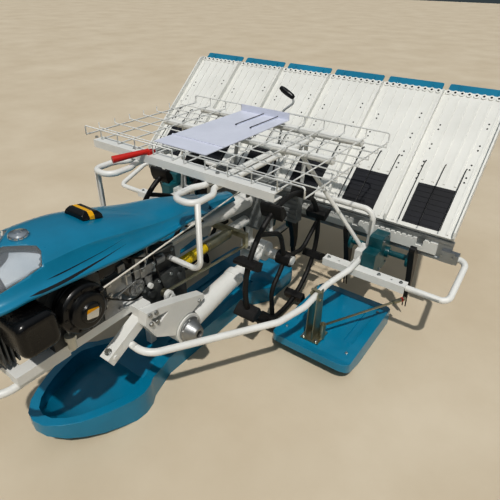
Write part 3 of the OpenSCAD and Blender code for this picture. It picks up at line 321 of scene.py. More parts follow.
def stripeMask(tree, axes):
    total = None
    for y0, y1, z0, z1, half in stripes["lines"]:
        line = addNode(tree, "MapRange", {"From Min": y0, "From Max": y1, "To Min": z0, "To Max": z1, "clamp": False},
                       {"Value": axes.outputs["Y"]})
        away = addNode(tree, "Math", {"operation": "SUBTRACT"}, {0: axes.outputs["Z"], 1: line.outputs[0]})
        away = addNode(tree, "Math", {"operation": "ABSOLUTE"}, {0: away.outputs[0]})
        rise = addNode(tree, "MapRange", {"From Min": y0, "From Max": y0 + stripes["frontTaper"], "To Max": half},
                       {"Value": axes.outputs["Y"]})
        fall = addNode(tree, "MapRange", {"From Min": y1, "From Max": y1 - stripes["rearTaper"], "To Max": half},
                       {"Value": axes.outputs["Y"]})
        thick = addNode(tree, "Math", {"operation": "MINIMUM"}, {0: rise.outputs[0], 1: fall.outputs[0]})
        mark = addNode(tree, "Math", {"operation": "LESS_THAN"}, {0: away.outputs[0], 1: thick.outputs[0]})
        both = {0: total.outputs[0], 1: mark.outputs[0]} if total else None
        total = addNode(tree, "Math", {"operation": "MAXIMUM"}, both) if total else mark
    width = addNode(tree, "Math", {"operation": "ABSOLUTE"}, {0: axes.outputs["X"]})
    wide = addNode(tree, "Math", {"operation": "GREATER_THAN", 1: stripes["outside"]}, {0: width.outputs[0]})
    return addNode(tree, "Math", {"operation": "MULTIPLY"}, {0: total.outputs[0], 1: wide.outputs[0]}).outputs[0]


def bandMask(axis, middle, half):
    def build(tree, axes):
        away = addNode(tree, "Math", {"operation": "SUBTRACT", 1: middle}, {0: axes.outputs[axis]})
        away = addNode(tree, "Math", {"operation": "ABSOLUTE"}, {0: away.outputs[0]})
        return addNode(tree, "Math", {"operation": "LESS_THAN", 1: half}, {0: away.outputs[0]}).outputs[0]
    return build


# black film stripes on the moulding, a yellow band over the nylon cap, the lever's bare rod below its black
# knob, and a plate with a blank yellow field along its top
paintMarks("stripedMoulding", "tealMoulding", "#0b0d10", stripeMask)
paintMarks("bandedCap", "blackNylon", "#e6ad12", bandMask("Y", -0.727, 0.0085))
paintMarks("leverFinish", "blackNylon", "#a9adad", bandMask("Z", 0.760, 0.133))
paintMarks("blankPlate", "brightPlate", "#d9a326", bandMask("Z", 0.579, 0.010))

# clear polycarbonate over the lamps: seen mostly by its gloss
lampGlass = {"tint": "#e8f0f4", "alpha": 0.08, "rough": (0.02, 0.08), "hazeScale": 60.0, "ior": 1.58}


def clearFinish(name, s):
    made, tree, place, shader = startMaterial(name)
    haze = addNode(tree, "TexNoise", {"Scale": s["hazeScale"], "Detail": 4.0}, {"Vector": place})
    rough = addNode(tree, "MapRange", {"To Min": s["rough"][0], "To Max": s["rough"][1]},
                    {"Value": haze.outputs["Fac"]})
    tree.links.new(rough.outputs[0], shader.inputs["Roughness"])
    shader.inputs["Base Color"].default_value = linearColour(s["tint"])
    shader.inputs["Alpha"].default_value = s["alpha"]
    shader.inputs["IOR"].default_value = s["ior"]
    material[name] = made


clearFinish("clearCover", lampGlass)

nodesByFinish = {
    "tealMoulding": ["centre_float", "side_floats", "bonnet", "extension_tabs"],
    "whitePowderCoat": ["float_link", "engine_frame", "front_bumper", "drive_shaft", "cross_tube", "handle_frame",
                        "side_guards", "float_beams", "rack_loops", "rack_bars", "swing_case_left",
                        "swing_case_right"],
    "zincPlate": ["float_brackets", "lift_cylinder", "press_rods", "marker_left", "marker_right"],
    # engine and gearbox cases darkened with painted shade
    "stainedCastEnamel": ["engine_block", "transmission_case"],
    "greyCastEnamel": ["rear_case", "cross_beam", "platform_frame"],
    "castAluminium": ["pivot_covers"],
    "anodisedAluminium": ["gate_rail"],
    "tealEnamel": ["planting_cases"],
    "darkIron": ["planting_arms"],
    "blackEnamel": ["muffler_cover"],
    "blackNylon": ["recoil_starter", "rear_panel"],
    "blackRubber": ["handle_grips", "wheel_left", "wheel_right"],
    "beltRubber": ["mat_belts"],
    "whitePolypropylene": ["seed_gate", "platform_panel"],
    "amberBowl": ["fuel_strainer"],
    "lampReflector": ["headlamps"],
    "brightPlate": ["fuel_cap"],
    "bandedCap": ["bonnet_cap"],
    "leverFinish": ["gear_lever"],
    "yellowEnamel": ["cylinder_spring"],
    "vinylWire": ["baskets"],
    "paleSheetPaint": ["rack_plate"],
    "redVinyl": ["brake_lever"],
    "whiteCord": ["starter_rope"],
}
nodeFinish = {node: finish for finish, nodes in nodesByFinish.items() for node in nodes}
for node, finish in nodeFinish.items():
    frame["nodes"][node].data.materials.clear()
    frame["nodes"][node].data.materials.append(material[finish])
print("materials done:", len(material))


# tools for the pieces: every piece rides the body of the node it belongs to
record = frame["record"]
bodyOf = {node: body for body, nodes in record["behaviour"]["bodies"].items() for node in nodes}


def finishPiece(name, bm, look, node, smooth=35.0, edge=0.0, wall=0.0):
    mesh = bpy.data.meshes.new(name)
    bm.to_mesh(mesh)
    bm.free()
    piece = bpy.data.objects.new(name, mesh)
    bpy.context.scene.collection.objects.link(piece)
    for one in [look] if isinstance(look, str) else look:
        mesh.materials.append(material[one])
    mesh.shade_smooth()
    mesh.set_sharp_from_angle(angle=math.radians(smooth))
    if wall:
        sheet = piece.modifiers.new("wall", "SOLIDIFY")
        sheet.thickness = wall
        sheet.offset = -1.0
        sheet.use_even_offset = True
    if edge:
        rounding = piece.modifiers.new("roundedEdges", "BEVEL")
        rounding.width = edge
        rounding.segments = 2
        rounding.limit_method = "ANGLE"
        rounding.angle_limit = math.radians(38)
        rounding.harden_normals = True
    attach(piece, bodyOf[node])
    return piece


def addBlock(bm, low, high, edge=0.002, turn=None):
    # a block with rounded edges, turned about its own middle
    low, high = Vector(low), Vector(high)
    made = bmesh.ops.create_cube(bm, size=1.0)["verts"]
    place = Matrix.Translation((low + high) / 2) @ (turn or Matrix()) @ Matrix.Diagonal((*(high - low), 1.0))
    bmesh.ops.transform(bm, matrix=place, verts=made)
    if edge:
        edges = list({e for v in made for e in v.link_edges})
        bmesh.ops.bevel(bm, geom=edges, offset=edge, segments=2, affect="EDGES", profile=0.5, material=-1)


def addBar(bm, a, b, radius, sides=14, tip=None):
    # a round bar from a to b; tip is its radius at b, where that differs
    a, b = Vector(a), Vector(b)
    turn = (b - a).to_track_quat("Z", "Y").to_matrix().to_4x4()
    bmesh.ops.create_cone(bm, cap_ends=True, segments=sides, radius1=radius, radius2=radius if tip is None else tip,
                          depth=(b - a).length, matrix=Matrix.Translation((a + b) / 2) @ turn)


def addHose(bm, points, radius):
    # a bent wire or hose: a smooth curve through the points, made a mesh
    curve = bpy.data.curves.new("hose", "CURVE")
    curve.dimensions = "3D"
    curve.bevel_depth = radius
    curve.bevel_resolution = 2
    curve.use_fill_caps = True
    spline = curve.splines.new("NURBS")
    spline.points.add(len(points) - 1)
    for knot, place in zip(spline.points, points):
        knot.co = (*place, 1.0)
    spline.use_endpoint_u = True
    spline.order_u = min(4, len(points))
    spline.resolution_u = 6
    path = bpy.data.objects.new("hose", curve)
    mesh = bpy.data.meshes.new_from_object(path)
    bm.from_mesh(mesh)
    bpy.data.objects.remove(path)
    bpy.data.curves.remove(curve)
    bpy.data.meshes.remove(mesh)


def addBolt(bm, place, along, size):
    # a washer and a hexagon head, a little smaller at its top; size is the radius over the corners
    turn = Matrix.Translation(place) @ Vector(along).to_track_quat("Z", "Y").to_matrix().to_4x4()
    washer, head = (size * 1.25, size * 1.25, 0.0, size * 0.25, 14), (size, size * 0.94, size * 0.25, size, 6)
    for radius, top, low, high, sides in (washer, head):
        bmesh.ops.create_cone(bm, cap_ends=True, segments=sides, radius1=radius, radius2=top, depth=high - low,
                              matrix=turn @ Matrix.Translation((0, 0, (low + high) / 2)))


def pourInto(bm, part):
    # adds a finished part to a larger mesh
    spare = bpy.data.meshes.new("spare")
    part.to_mesh(spare)
    part.free()
    bm.from_mesh(spare)
    bpy.data.meshes.remove(spare)


def edgesAlong(bm, axis):
    return [e for e in bm.edges if abs((e.verts[0].co - e.verts[1].co).normalized()[axis]) > 0.9]


# CAD nodes shown with rounded edges and smooth tubes: a merged copy with the edge radius in metres
roundedNodes = {
    "centre_float": 0.007, "side_floats": 0.007, "float_link": 0.002, "float_brackets": 0.0012,
    "engine_block": 0.0025, "fuel_strainer": 0.001, "engine_frame": 0.003, "front_bumper": 0.0, "fuel_cap": 0.0008,
    "bonnet_cap": 0.003, "transmission_case": 0.005, "pivot_covers": 0.0015, "lift_cylinder": 0.001,
    "cylinder_spring": 0.001, "drive_shaft": 0.001, "rear_case": 0.004, "cross_beam": 0.0015, "cross_tube": 0.0,
    "planting_cases": 0.003, "planting_arms": 0.0015, "platform_frame": 0.0015, "handle_frame": 0.0,
    "handle_grips": 0.0, "rear_panel": 0.003, "side_guards": 0.0, "float_beams": 0.0015, "rack_loops": 0.0,
    "rack_bars": 0.001, "baskets": 0.0, "gear_lever": 0.0, "brake_lever": 0.001, "swing_case_left": 0.003,
    "swing_case_right": 0.003, "wheel_left": 0.003, "wheel_right": 0.003, "marker_left": 0.0, "marker_right": 0.0,
}


def roundNodes(table):
    for node, edge in table.items():
        bm = bmesh.new()
        bm.from_mesh(frame["nodes"][node].data)
        bmesh.ops.remove_doubles(bm, verts=bm.verts, dist=1e-5)
        bmesh.ops.dissolve_limit(bm, angle_limit=math.radians(0.5), verts=bm.verts, edges=bm.edges)
        piece = finishPiece(node + "_rounded", bm, nodeFinish[node], node, smooth=38.0, edge=edge)
        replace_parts(piece, node)


roundNodes(roundedNodes)
print("rounded copies done:", len(roundedNodes))


# bonnet: the moulded skin, lofted smooth through the same sections as the CAD, with a shallow flute under its crease
bonnet = {
    # y, half width at the crease, half width at the hem, height of the top, of the crease and of the hem, in mm
    "hood": [(-1164, 46, 78, 708, 684, 656), (-1128, 86, 128, 738, 700, 658), (-1010, 108, 162, 757, 716, 668),
             (-800, 112, 166, 757, 714, 653), (-664, 104, 158, 727, 686, 638), (-520, 90, 142, 690, 653, 622),
             (-360, 72, 116, 659, 626, 606), (-208, 54, 86, 620, 596, 574)],
    "tail": [(-200, 47, 62, 611, 592, 562), (-12, 28, 38, 566, 550, 532)],
    "hoodRows": 66,
    "tailRows": 8,
    "hoodMiddle": 0.6,  # a height inside the end sections, round which they are closed
    "tailMiddle": 0.5,
    "halfColumns": 30,
    "noseCrowd": 0.35,  # how much closer the rows stand at the nose
    "noseBlunt": 0.7,  # how fast the hood opens from the nose
    # the crease stands further out and up than in CAD, less near both ends: from y on, over how many mm
    "creaseOut": 14.0,
    "creaseUp": 9.0,
    "creaseNose": (-1164, 150),
    "creaseTail": (-200, 200),
    # a knot on each half of the section, as shares of the way out and down: from the top to the crease, and from
    # the crease to the hem, which then runs straight for hemFlat mm
    "shoulder": (0.83, 0.55),
    "flank": (0.52, 0.62),
    "hemFlat": 10,
    # the flute: y from and to, depth, its direction, and where it lies between the top (0) and the hem (1)
    "fluteFrom": -912,
    "fluteTo": -290,
    "fluteDepth": 2.5,
    "fluteInto": (0.8, 0.6),
    "fluteUpper": (0.5, 0.033),
    "fluteLower": (0.80, 0.267),
    "wall": 0.003,
    "coverWall": 0.002,
    "bowlWall": 0.001,
    "lampReach": -0.88,  # the lamps lie in front of this y
    "lampRear": [(0.008, -0.985), (0.080, -0.918), (0.094, -0.928), (0.200, -0.938)],  # x, y along the rear edge
    "lampLine": [(-1.140, 0.690), (-1.050, 0.707)],  # y, z of two points on the lower edge of the lamps
    # under the cover, a black gasket and then a bright stepped bowl: width, depth and material of each step
    "lampSteps": [(0.003, -0.0025, 1), (0.007, -0.012, 0), (0.004, -0.010, 0)],
    # painted reflections: dark bands along the bowl's border, painted where its facets would mirror the dark: which
    # plane of cutPlanes, from and to
    "paintedReflectionBands": [(2, -0.1, 0.015), (1, 0.026, 0.0295), (4, 0.118, 0.140)],
}


def smoothRow(rows, y, blunt):
    # one cross-section between the table's rows, by cubic Hermite pieces
    i = max(0, min(len(rows) - 2, sum(1 for r in rows[1:-1] if r[0] < y)))
    a, b = rows[i], rows[i + 1]
    before, after = rows[max(i - 1, 0)], rows[min(i + 2, len(rows) - 1)]
    span = b[0] - a[0]
    t = (y - a[0]) / span
    values = [y]
    for k in range(1, 6):
        slope = (b[k] - a[k]) / span
        into = slope if before is a else ((a[k] - before[k]) / (a[0] - before[0]) + slope) / 2
        out = slope if after is b else ((after[k] - b[k]) / (after[0] - b[0]) + slope) / 2
        if before is a:
            into = slope * (1 + blunt) - out * blunt
        values.append((2 * t ** 3 - 3 * t ** 2 + 1) * a[k] + (t ** 3 - 2 * t ** 2 + t) * span * into
                      + (3 * t ** 2 - 2 * t ** 3) * b[k] + (t ** 3 - t ** 2) * span * out)
    return values


def sectionPoint(row, along, s):
    # a point of half a cross-section: along runs from 0 at the top to 1 at the hem
    y, crease, hem, top, creaseZ, hemZ = row
    (noseAt, noseFade), (tailAt, tailFade) = s["creaseNose"], s["creaseTail"]
    lift = min(1.0, max(0.0, (y - noseAt) / noseFade)) * min(1.0, max(0.3, (tailAt - y) / tailFade))
    crease += s["creaseOut"] * lift
    creaseZ += s["creaseUp"] * lift
    d = top - creaseZ
    (shoulderOut, shoulderDown), (flankOut, flankDown) = s["shoulder"], s["flank"]
    knots = [Vector((-crease / 2, top - d / 8)), Vector((0, top)), Vector((crease / 2, top - d / 8)),
             Vector((shoulderOut * crease, top - shoulderDown * d)), Vector((crease, creaseZ)),
             Vector((crease + flankOut * (hem - crease), creaseZ - flankDown * (creaseZ - hemZ))),
             Vector((hem, hemZ + s["hemFlat"])), Vector((hem, hemZ)), Vector((hem, hemZ - s["hemFlat"]))]
    place = 1 + along * 6
    i = min(int(place), 6)
    t = place - i
    p0, p1, p2, p3 = knots[i - 1:i + 3]
    if i == 3:  # the two sides of the crease meet at an angle
        p3 = 2 * p2 - p1
    elif i == 4:
        p0 = 2 * p1 - p2
    point = 0.5 * (2 * p1 + (p2 - p0) * t + (2 * p0 - 5 * p1 + 4 * p2 - p3) * t * t
                   + (3 * p1 - p0 - 3 * p2 + p3) * t ** 3)
    if s["fluteFrom"] < y < s["fluteTo"]:
        run = math.sin(math.pi * (y - s["fluteFrom"]) / (s["fluteTo"] - s["fluteFrom"])) ** 0.6
        (upper, upperRun), (lower, lowerRun) = s["fluteUpper"], s["fluteLower"]
        groove = max(0.0, min((along - upper) / upperRun, (lower - along) / lowerRun))
        point -= Vector(s["fluteInto"]) * s["fluteDepth"] * run * groove * groove * (3 - 2 * groove)
    return point


def loftHood(rows, count, crowd, middle, s):
    bm = bmesh.new()
    bmesh.ops.create_grid(bm, x_segments=2 * s["halfColumns"], y_segments=count, size=1.0)
    first, last = rows[0][0], rows[-1][0]
    for v in bm.verts:
        along = (v.co.y + 1) / 2
        along = crowd * along ** 2 + (1 - crowd) * along
        row = smoothRow(rows, first + (last - first) * along, s["noseBlunt"])
        x, z = sectionPoint(row, abs(v.co.x), s)
        v.co = Vector((math.copysign(x, v.co.x), row[0], z)) / 1000
    ends = [[v for v in bm.verts if abs(v.co.y * 1000 - y) < 0.01] for y in (first, last)]
    for row in ends:
        bm.faces.new(sorted(row, key=lambda v: math.atan2(v.co.z - middle, v.co.x)))
    bmesh.ops.recalc_face_normals(bm, faces=bm.faces)
    return bm


def cutPlanes(s):
    # the planes that bound a left lamp, each with its normal pointing out of the lamp's room
    edge = [Vector((x, y, 0)) for x, y in s["lampRear"]]
    front, rear = (Vector((0, y, z)) for y, z in s["lampLine"])
    below = (rear - front).normalized().cross(Vector((1, 0, 0))).normalized()
    planes = [(edge[0], Vector((-1, 0, 0))), (front, below)]
    for a, b in zip(edge, edge[1:]):
        side = (b - a).normalized()
        planes.append((a, Vector((-side.y, side.x, 0))))
    return planes


def inLamp(centre, planes):
    here = Vector((abs(centre.x), centre.y, centre.z))
    return all((here - place).dot(normal) < 0 for place, normal in planes)


# mask of the painted reflections: the dark bands along the lamp bowl's border
def paintedReflectionMask(tree, axes):
    planes = cutPlanes(bonnet)
    across = addNode(tree, "Math", {"operation": "ABSOLUTE"}, {0: axes.outputs["X"]})
    place = addNode(tree, "CombineXYZ",
                    links={"X": across.outputs[0], "Y": axes.outputs["Y"], "Z": axes.outputs["Z"]})
    total = None
    for i, low, high in bonnet["paintedReflectionBands"]:
        point, normal = planes[i]
        reach = addNode(tree, "VectorMath", {"operation": "DOT_PRODUCT", 1: tuple(normal)}, {0: place.outputs[0]})
        away = addNode(tree, "Math", {"operation": "SUBTRACT", 0: point.dot(normal)}, {1: reach.outputs["Value"]})
        over = addNode(tree, "Math", {"operation": "GREATER_THAN", 1: low}, {0: away.outputs[0]})
        under = addNode(tree, "Math", {"operation": "LESS_THAN", 1: high}, {0: away.outputs[0]})
        band = addNode(tree, "Math", {"operation": "MULTIPLY"}, {0: over.outputs[0], 1: under.outputs[0]})
        both = {0: total.outputs[0], 1: band.outputs[0]} if total else None
        total = addNode(tree, "Math", {"operation": "MAXIMUM"}, both) if total else band
    return total.outputs[0]


# the lamp's bowl with painted reflections: dark bands painted on its facets, because so small a mirror would show
# only the sky
paintMarks("reflectorWithPaintedReflections", "lampReflector", "#4a4b54", paintedReflectionMask)


def makeBonnet(s):
    planes = cutPlanes(s)
    hood = loftHood(s["hood"], s["hoodRows"], s["noseCrowd"], s["hoodMiddle"], s)
    for side in (1, -1):
        for place, normal in planes:
            near = [f for f in hood.faces if f.calc_center_median().y < s["lampReach"]]
            geometry = near + list({e for f in near for e in f.edges}) + list({v for f in near for v in f.verts})
            bmesh.ops.bisect_plane(hood, geom=geometry, dist=1e-6, plane_co=(side * place.x, place.y, place.z),
                                   plane_no=(side * normal.x, normal.y, normal.z))
    lamps = hood.copy()
    for bm, wanted in ((hood, False), (lamps, True)):
        spare = [f for f in bm.faces if inLamp(f.calc_center_median(), planes) != wanted]
        bmesh.ops.delete(bm, geom=spare, context="FACES")
    pourInto(hood, loftHood(s["tail"], s["tailRows"], 0.0, s["tailMiddle"], s))
    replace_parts(finishPiece("bonnetSkin", hood, "stripedMoulding", "bonnet", smooth=19.0, wall=s["wall"]), "bonnet")
    finishPiece("lampCovers", lamps.copy(), "clearCover", "headlamps", smooth=60.0, wall=s["coverWall"])
    for thickness, depth, index in s["lampSteps"]:
        inner = [f for f in lamps.faces if f.material_index == 0 and not f.tag]
        ring = bmesh.ops.inset_region(lamps, faces=inner, thickness=thickness, depth=depth, use_even_offset=True)
        for f in ring["faces"]:
            f.material_index = index
            f.tag = True
    # the bowl's silver carries the painted reflections of the dark
    looks = ["reflectorWithPaintedReflections", "blackNylon"]
    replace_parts(finishPiece("lampBowls", lamps, looks, "headlamps", smooth=25.0, wall=s["bowlWall"]), "headlamps")


makeBonnet(bonnet)
print("bonnet and lamps done")


# engine side: the starter's spun housing with its blank plate, and the pressed box over the silencer
starter = {
    "crank": (-0.885, 0.562),  # y, z
    # x and radius of the outline, from the blower housing to the hub
    "outline": [(0.1215, 0.0735), (0.1265, 0.0735), (0.1275, 0.0722), (0.1315, 0.0722), (0.1325, 0.0735),
                (0.1385, 0.0735), (0.1395, 0.0722), (0.1435, 0.0722), (0.1445, 0.0735), (0.1498, 0.0735),
                (0.1503, 0.0780), (0.1690, 0.0780), (0.1745, 0.0745), (0.1775, 0.0700), (0.1790, 0.0590),
                (0.1905, 0.0560), (0.1945, 0.0510), (0.1960, 0.0460), (0.1950, 0.0400), (0.1965, 0.0330),
                (0.2025, 0.0300), (0.2043, 0.0270), (0.2043, 0.0020)],
    "steps": 72,
    "slots": 12,  # cooling slots round the shoulder
    "slotPlace": (0.1795, 0.0665),  # x and distance from the crank
    "slotHalf": (0.0012, 0.0045, 0.0045),
    "plateHalf": (0.0200, 0.0165),
    "plateThick": 0.0010,
    "plateCorner": 0.006,
    "plateTurn": math.radians(-14),
}


def makeStarter(s):
    y, z = s["crank"]
    face = s["outline"][-1][0]
    bm = bmesh.new()
    knots = [bm.verts.new((x, y, z + radius)) for x, radius in s["outline"]]
    edges = [bm.edges.new(pair) for pair in zip(knots, knots[1:])]
    bmesh.ops.spin(bm, geom=knots + edges, cent=(0, y, z), axis=(1, 0, 0), angle=math.tau, steps=s["steps"],
                   use_merge=True)
    hub = [v for v in bm.verts if v.co.x > face - 0.0001 and math.hypot(v.co.y - y, v.co.z - z) < 0.003]
    bmesh.ops.pointmerge(bm, verts=hub, merge_co=(face, y, z))
    bmesh.ops.holes_fill(bm, edges=[e for e in bm.edges if e.is_boundary])
    x, reach = s["slotPlace"]
    half = Vector(s["slotHalf"])
    for i in range(s["slots"]):
        turn = Matrix.Rotation(math.tau * i / s["slots"], 4, "X")
        at = Vector((x, y, z)) + turn @ Vector((0, 0, reach))
        addBlock(bm, at - half, at + half, 0.001, turn)
    bmesh.ops.recalc_face_normals(bm, faces=bm.faces)
    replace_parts(finishPiece("starterHousing", bm, "blackNylon", "recoil_starter", smooth=30.0), "recoil_starter")
    plate = bmesh.new()
    wide, high = s["plateHalf"]
    addBlock(plate, (face, y - wide, z - high), (face + s["plateThick"], y + wide, z + high), 0.0)
    bmesh.ops.bevel(plate, geom=edgesAlong(plate, 0), offset=s["plateCorner"], segments=4, affect="EDGES",
                    profile=0.5, material=-1)
    bmesh.ops.rotate(plate, cent=(0, y, z), matrix=Matrix.Rotation(s["plateTurn"], 3, "X"), verts=plate.verts)
    finishPiece("starterPlate", plate, "blankPlate", "recoil_starter", edge=0.0003)


silencer = {
    "x": (0.104, 0.200),
    "middle": (-1.036, 0.583),  # y, z
    "half": 0.057,
    "corner": 0.030,  # radius of the four long corners
    "face": 0.017,  # radius round the outer face
    "rim": 0.004,
    "sunk": 0.0012,
}


def makeSilencer(s):
    (x0, x1), (y, z), half = s["x"], s["middle"], s["half"]
    bm = bmesh.new()
    addBlock(bm, (x0, y - half, z - half), (x1, y + half, z + half), 0.0)
    rounds = {"affect": "EDGES", "profile": 0.5, "material": -1}
    bmesh.ops.bevel(bm, geom=edgesAlong(bm, 0), offset=s["corner"], segments=7, **rounds)

    def outerFace():
        return max(bm.faces, key=lambda f: f.calc_center_median().x + (1.0 if len(f.verts) > 8 else 0.0))

    bmesh.ops.bevel(bm, geom=list(outerFace().edges), offset=s["face"], segments=4, **rounds)
    face = outerFace()
    bmesh.ops.inset_region(bm, faces=[face], thickness=s["rim"], depth=0.0)
    bmesh.ops.inset_region(bm, faces=[face], thickness=s["rim"], depth=-s["sunk"])
    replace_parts(finishPiece("silencerBox", bm, "blackEnamel", "muffler_cover", smooth=30.0), "muffler_cover")


# what shows between the starter and the gearbox: carburettor, air cleaner, governor rods, covers and wiring
engineClutter = {
    # cast blocks: two corners and the edge radius
    "castBlocks": [((0.086, -0.772, 0.500), (0.116, -0.668, 0.556), 0.004),
                   ((0.094, -0.640, 0.505), (0.126, -0.572, 0.548), 0.006),
                   ((0.108, -0.662, 0.512), (0.122, -0.636, 0.566), 0.003),
                   ((0.121, -0.800, 0.434), (0.124, -0.726, 0.498), 0.001),
                   ((0.094, -0.566, 0.548), (0.104, -0.462, 0.556), 0.002),
                   ((0.098, -0.720, 0.567), (0.118, -0.690, 0.595), 0.004),
                   ((0.098, -0.650, 0.562), (0.118, -0.600, 0.590), 0.004)],
    # turned parts: two ends, radius, sides and the radius at the far end; a stepped round cover, then the float bowl
    "castRounds": [((0.093, -0.655, 0.478), (0.112, -0.655, 0.478), 0.034, 28, 0.034),
                   ((0.112, -0.655, 0.478), (0.120, -0.655, 0.478), 0.030, 28, 0.030),
                   ((0.120, -0.655, 0.478), (0.128, -0.655, 0.478), 0.016, 28, 0.016),
                   ((0.112, -0.605, 0.470), (0.112, -0.605, 0.506), 0.017, 24, 0.019),
                   ((0.112, -0.605, 0.462), (0.112, -0.605, 0.471), 0.006, 12, 0.006),
                   ((0.100, -0.560, 0.527), (0.100, -0.520, 0.527), 0.020, 24, 0.020)],
    "ribs": 7,  # across the round cover
    "rib": ((0.1195, -0.6565, 0.452), (0.1225, -0.6535, 0.504), 0.0005),
    "darkBlocks": [((0.050, -0.786, 0.572), (0.112, -0.690, 0.630), 0.012),
                   ((0.040, -0.660, 0.560), (0.096, -0.560, 0.606), 0.010)],
    "hoses": [([(0.118, -0.578, 0.590), (0.122, -0.578, 0.565), (0.123, -0.560, 0.470), (0.121, -0.540, 0.400),
                (0.124, -0.530, 0.366)], 0.0034),
              ([(0.110, -0.800, 0.520), (0.128, -0.770, 0.505), (0.130, -0.720, 0.470), (0.126, -0.680, 0.440),
                (0.112, -0.640, 0.436)], 0.0030),
              ([(0.090, -0.700, 0.610), (0.118, -0.660, 0.600), (0.122, -0.600, 0.560), (0.110, -0.480, 0.520),
                (0.070, -0.440, 0.500)], 0.0038),
              ([(0.092, -0.580, 0.600), (0.100, -0.500, 0.566), (0.085, -0.400, 0.552), (0.070, -0.260, 0.548)],
               0.0032)],
    "rods": [((0.130, -0.756, 0.566), (0.129, -0.622, 0.548), 0.0018),
             ((0.129, -0.622, 0.548), (0.118, -0.590, 0.580), 0.0018),
             ((0.126, -0.700, 0.520), (0.126, -0.700, 0.572), 0.0035),
             ((0.112, -0.605, 0.548), (0.112, -0.605, 0.580), 0.006),
             ((0.127, -0.742, 0.500), (0.127, -0.664, 0.516), 0.0022),
             ((0.104, -0.586, 0.548), (0.104, -0.586, 0.602), 0.0024)],
    "bolts": [(0.128, -0.655, 0.478), (0.1245, -0.790, 0.488), (0.1245, -0.736, 0.488), (0.1245, -0.736, 0.444),
              (0.1165, -0.760, 0.546), (0.1165, -0.684, 0.546), (0.1165, -0.760, 0.510), (0.1265, -0.630, 0.538),
              (0.1265, -0.582, 0.538), (0.1265, -0.582, 0.514)],
    "boltSize": 0.0055,
    "fuelPipe": ([(0.137, -0.932, 0.478), (0.137, -0.934, 0.500), (0.136, -0.944, 0.520), (0.122, -0.955, 0.545),
                  (0.112, -0.960, 0.575)], 0.0038),
    "caps": [((0.104, -0.586, 0.598), (0.104, -0.586, 0.612), 0.0065, 16),
             ((0.128, -0.612, 0.468), (0.140, -0.612, 0.468), 0.010, 20)],
}


def makeEngineClutter(s):
    cast, dark, bright, caps = (bmesh.new() for _ in range(4))
    for block in s["castBlocks"]:
        addBlock(cast, *block)
    for bar in s["castRounds"]:
        addBar(cast, *bar)
    for k in range(s["ribs"]):
        addBlock(cast, *s["rib"], Matrix.Rotation(math.pi * k / s["ribs"], 4, "X"))
    finishPiece("engineCastings", cast, "castAluminium", "engine_block")
    for block in s["darkBlocks"]:
        addBlock(dark, *block)
    for hose in s["hoses"]:
        addHose(dark, *hose)
    finishPiece("airCleanerAndHoses", dark, "blackNylon", "engine_block", smooth=40.0)
    for rod in s["rods"]:
        addBar(bright, *rod)
    for place in s["bolts"]:
        addBolt(bright, place, (1, 0, 0), s["boltSize"])
    addHose(bright, *s["fuelPipe"])
    finishPiece("engineBoltsAndRods", bright, "brightZinc", "engine_block")
    for cap in s["caps"]:
        addBar(caps, *cap)
    finishPiece("whiteCaps", caps, "vinylWire", "engine_block", edge=0.001)


makeStarter(starter)
makeSilencer(silencer)
makeEngineClutter(engineClutter)
print("engine side done")


# seedling platform: black discs painted where its holes are as painted shade, scalloped top edge and press wires,
# laid out in the platform's own frame
platform = {
    "shift": -0.020,
    "foot": (0.376, 0.448),  # y, z of its lower edge
    "slope": math.radians(41),
    "rows": 6,
    "pitch": 0.300,
    "length": 0.716,
    # x in the row and distance up the slope of each pair of holes, the second hole above the first
    "pairs": [(-0.098, 0.300), (0.098, 0.330), (-0.098, 0.395), (0.098, 0.430), (-0.098, 0.500), (0.098, 0.545),
              (-0.098, 0.235), (0.098, 0.265)],
    "pairGap": 0.024,
    "holeRadius": 0.0040,
    "holeSides": 12,
    # the scallops along the top edge, each a low boss with a hole: radii, height, sides and how far from the edge
    "scallops": 9,
    "scallopPitch": 0.0318,
    "scallop": (0.0135, 0.0128, 0.0040, 20),
    "scallopIn": 0.012,
    "scallopHole": 0.0054,
    "scallopHoleIn": 0.011,
    "wires": (-0.088, 0.0, 0.088),
    "wireRoute": [(0.330, 0.001), (0.328, 0.012), (0.316, 0.018), (0.200, 0.026), (0.100, 0.030), (0.030, 0.031),
                  (0.012, 0.024)],  # distance up the slope and out from the panel
    "wireRadius": 0.0021,
}


def onPlatform(s, x, up, out):
    y = s["foot"][0] + up * math.cos(s["slope"]) - out * math.sin(s["slope"])
    z = s["foot"][1] + up * math.sin(s["slope"]) + out * math.cos(s["slope"])
    return Vector((x + s["shift"], y, z))


def rowMiddles(s):
    return [(i - (s["rows"] - 1) / 2) * s["pitch"] for i in range(s["rows"])]


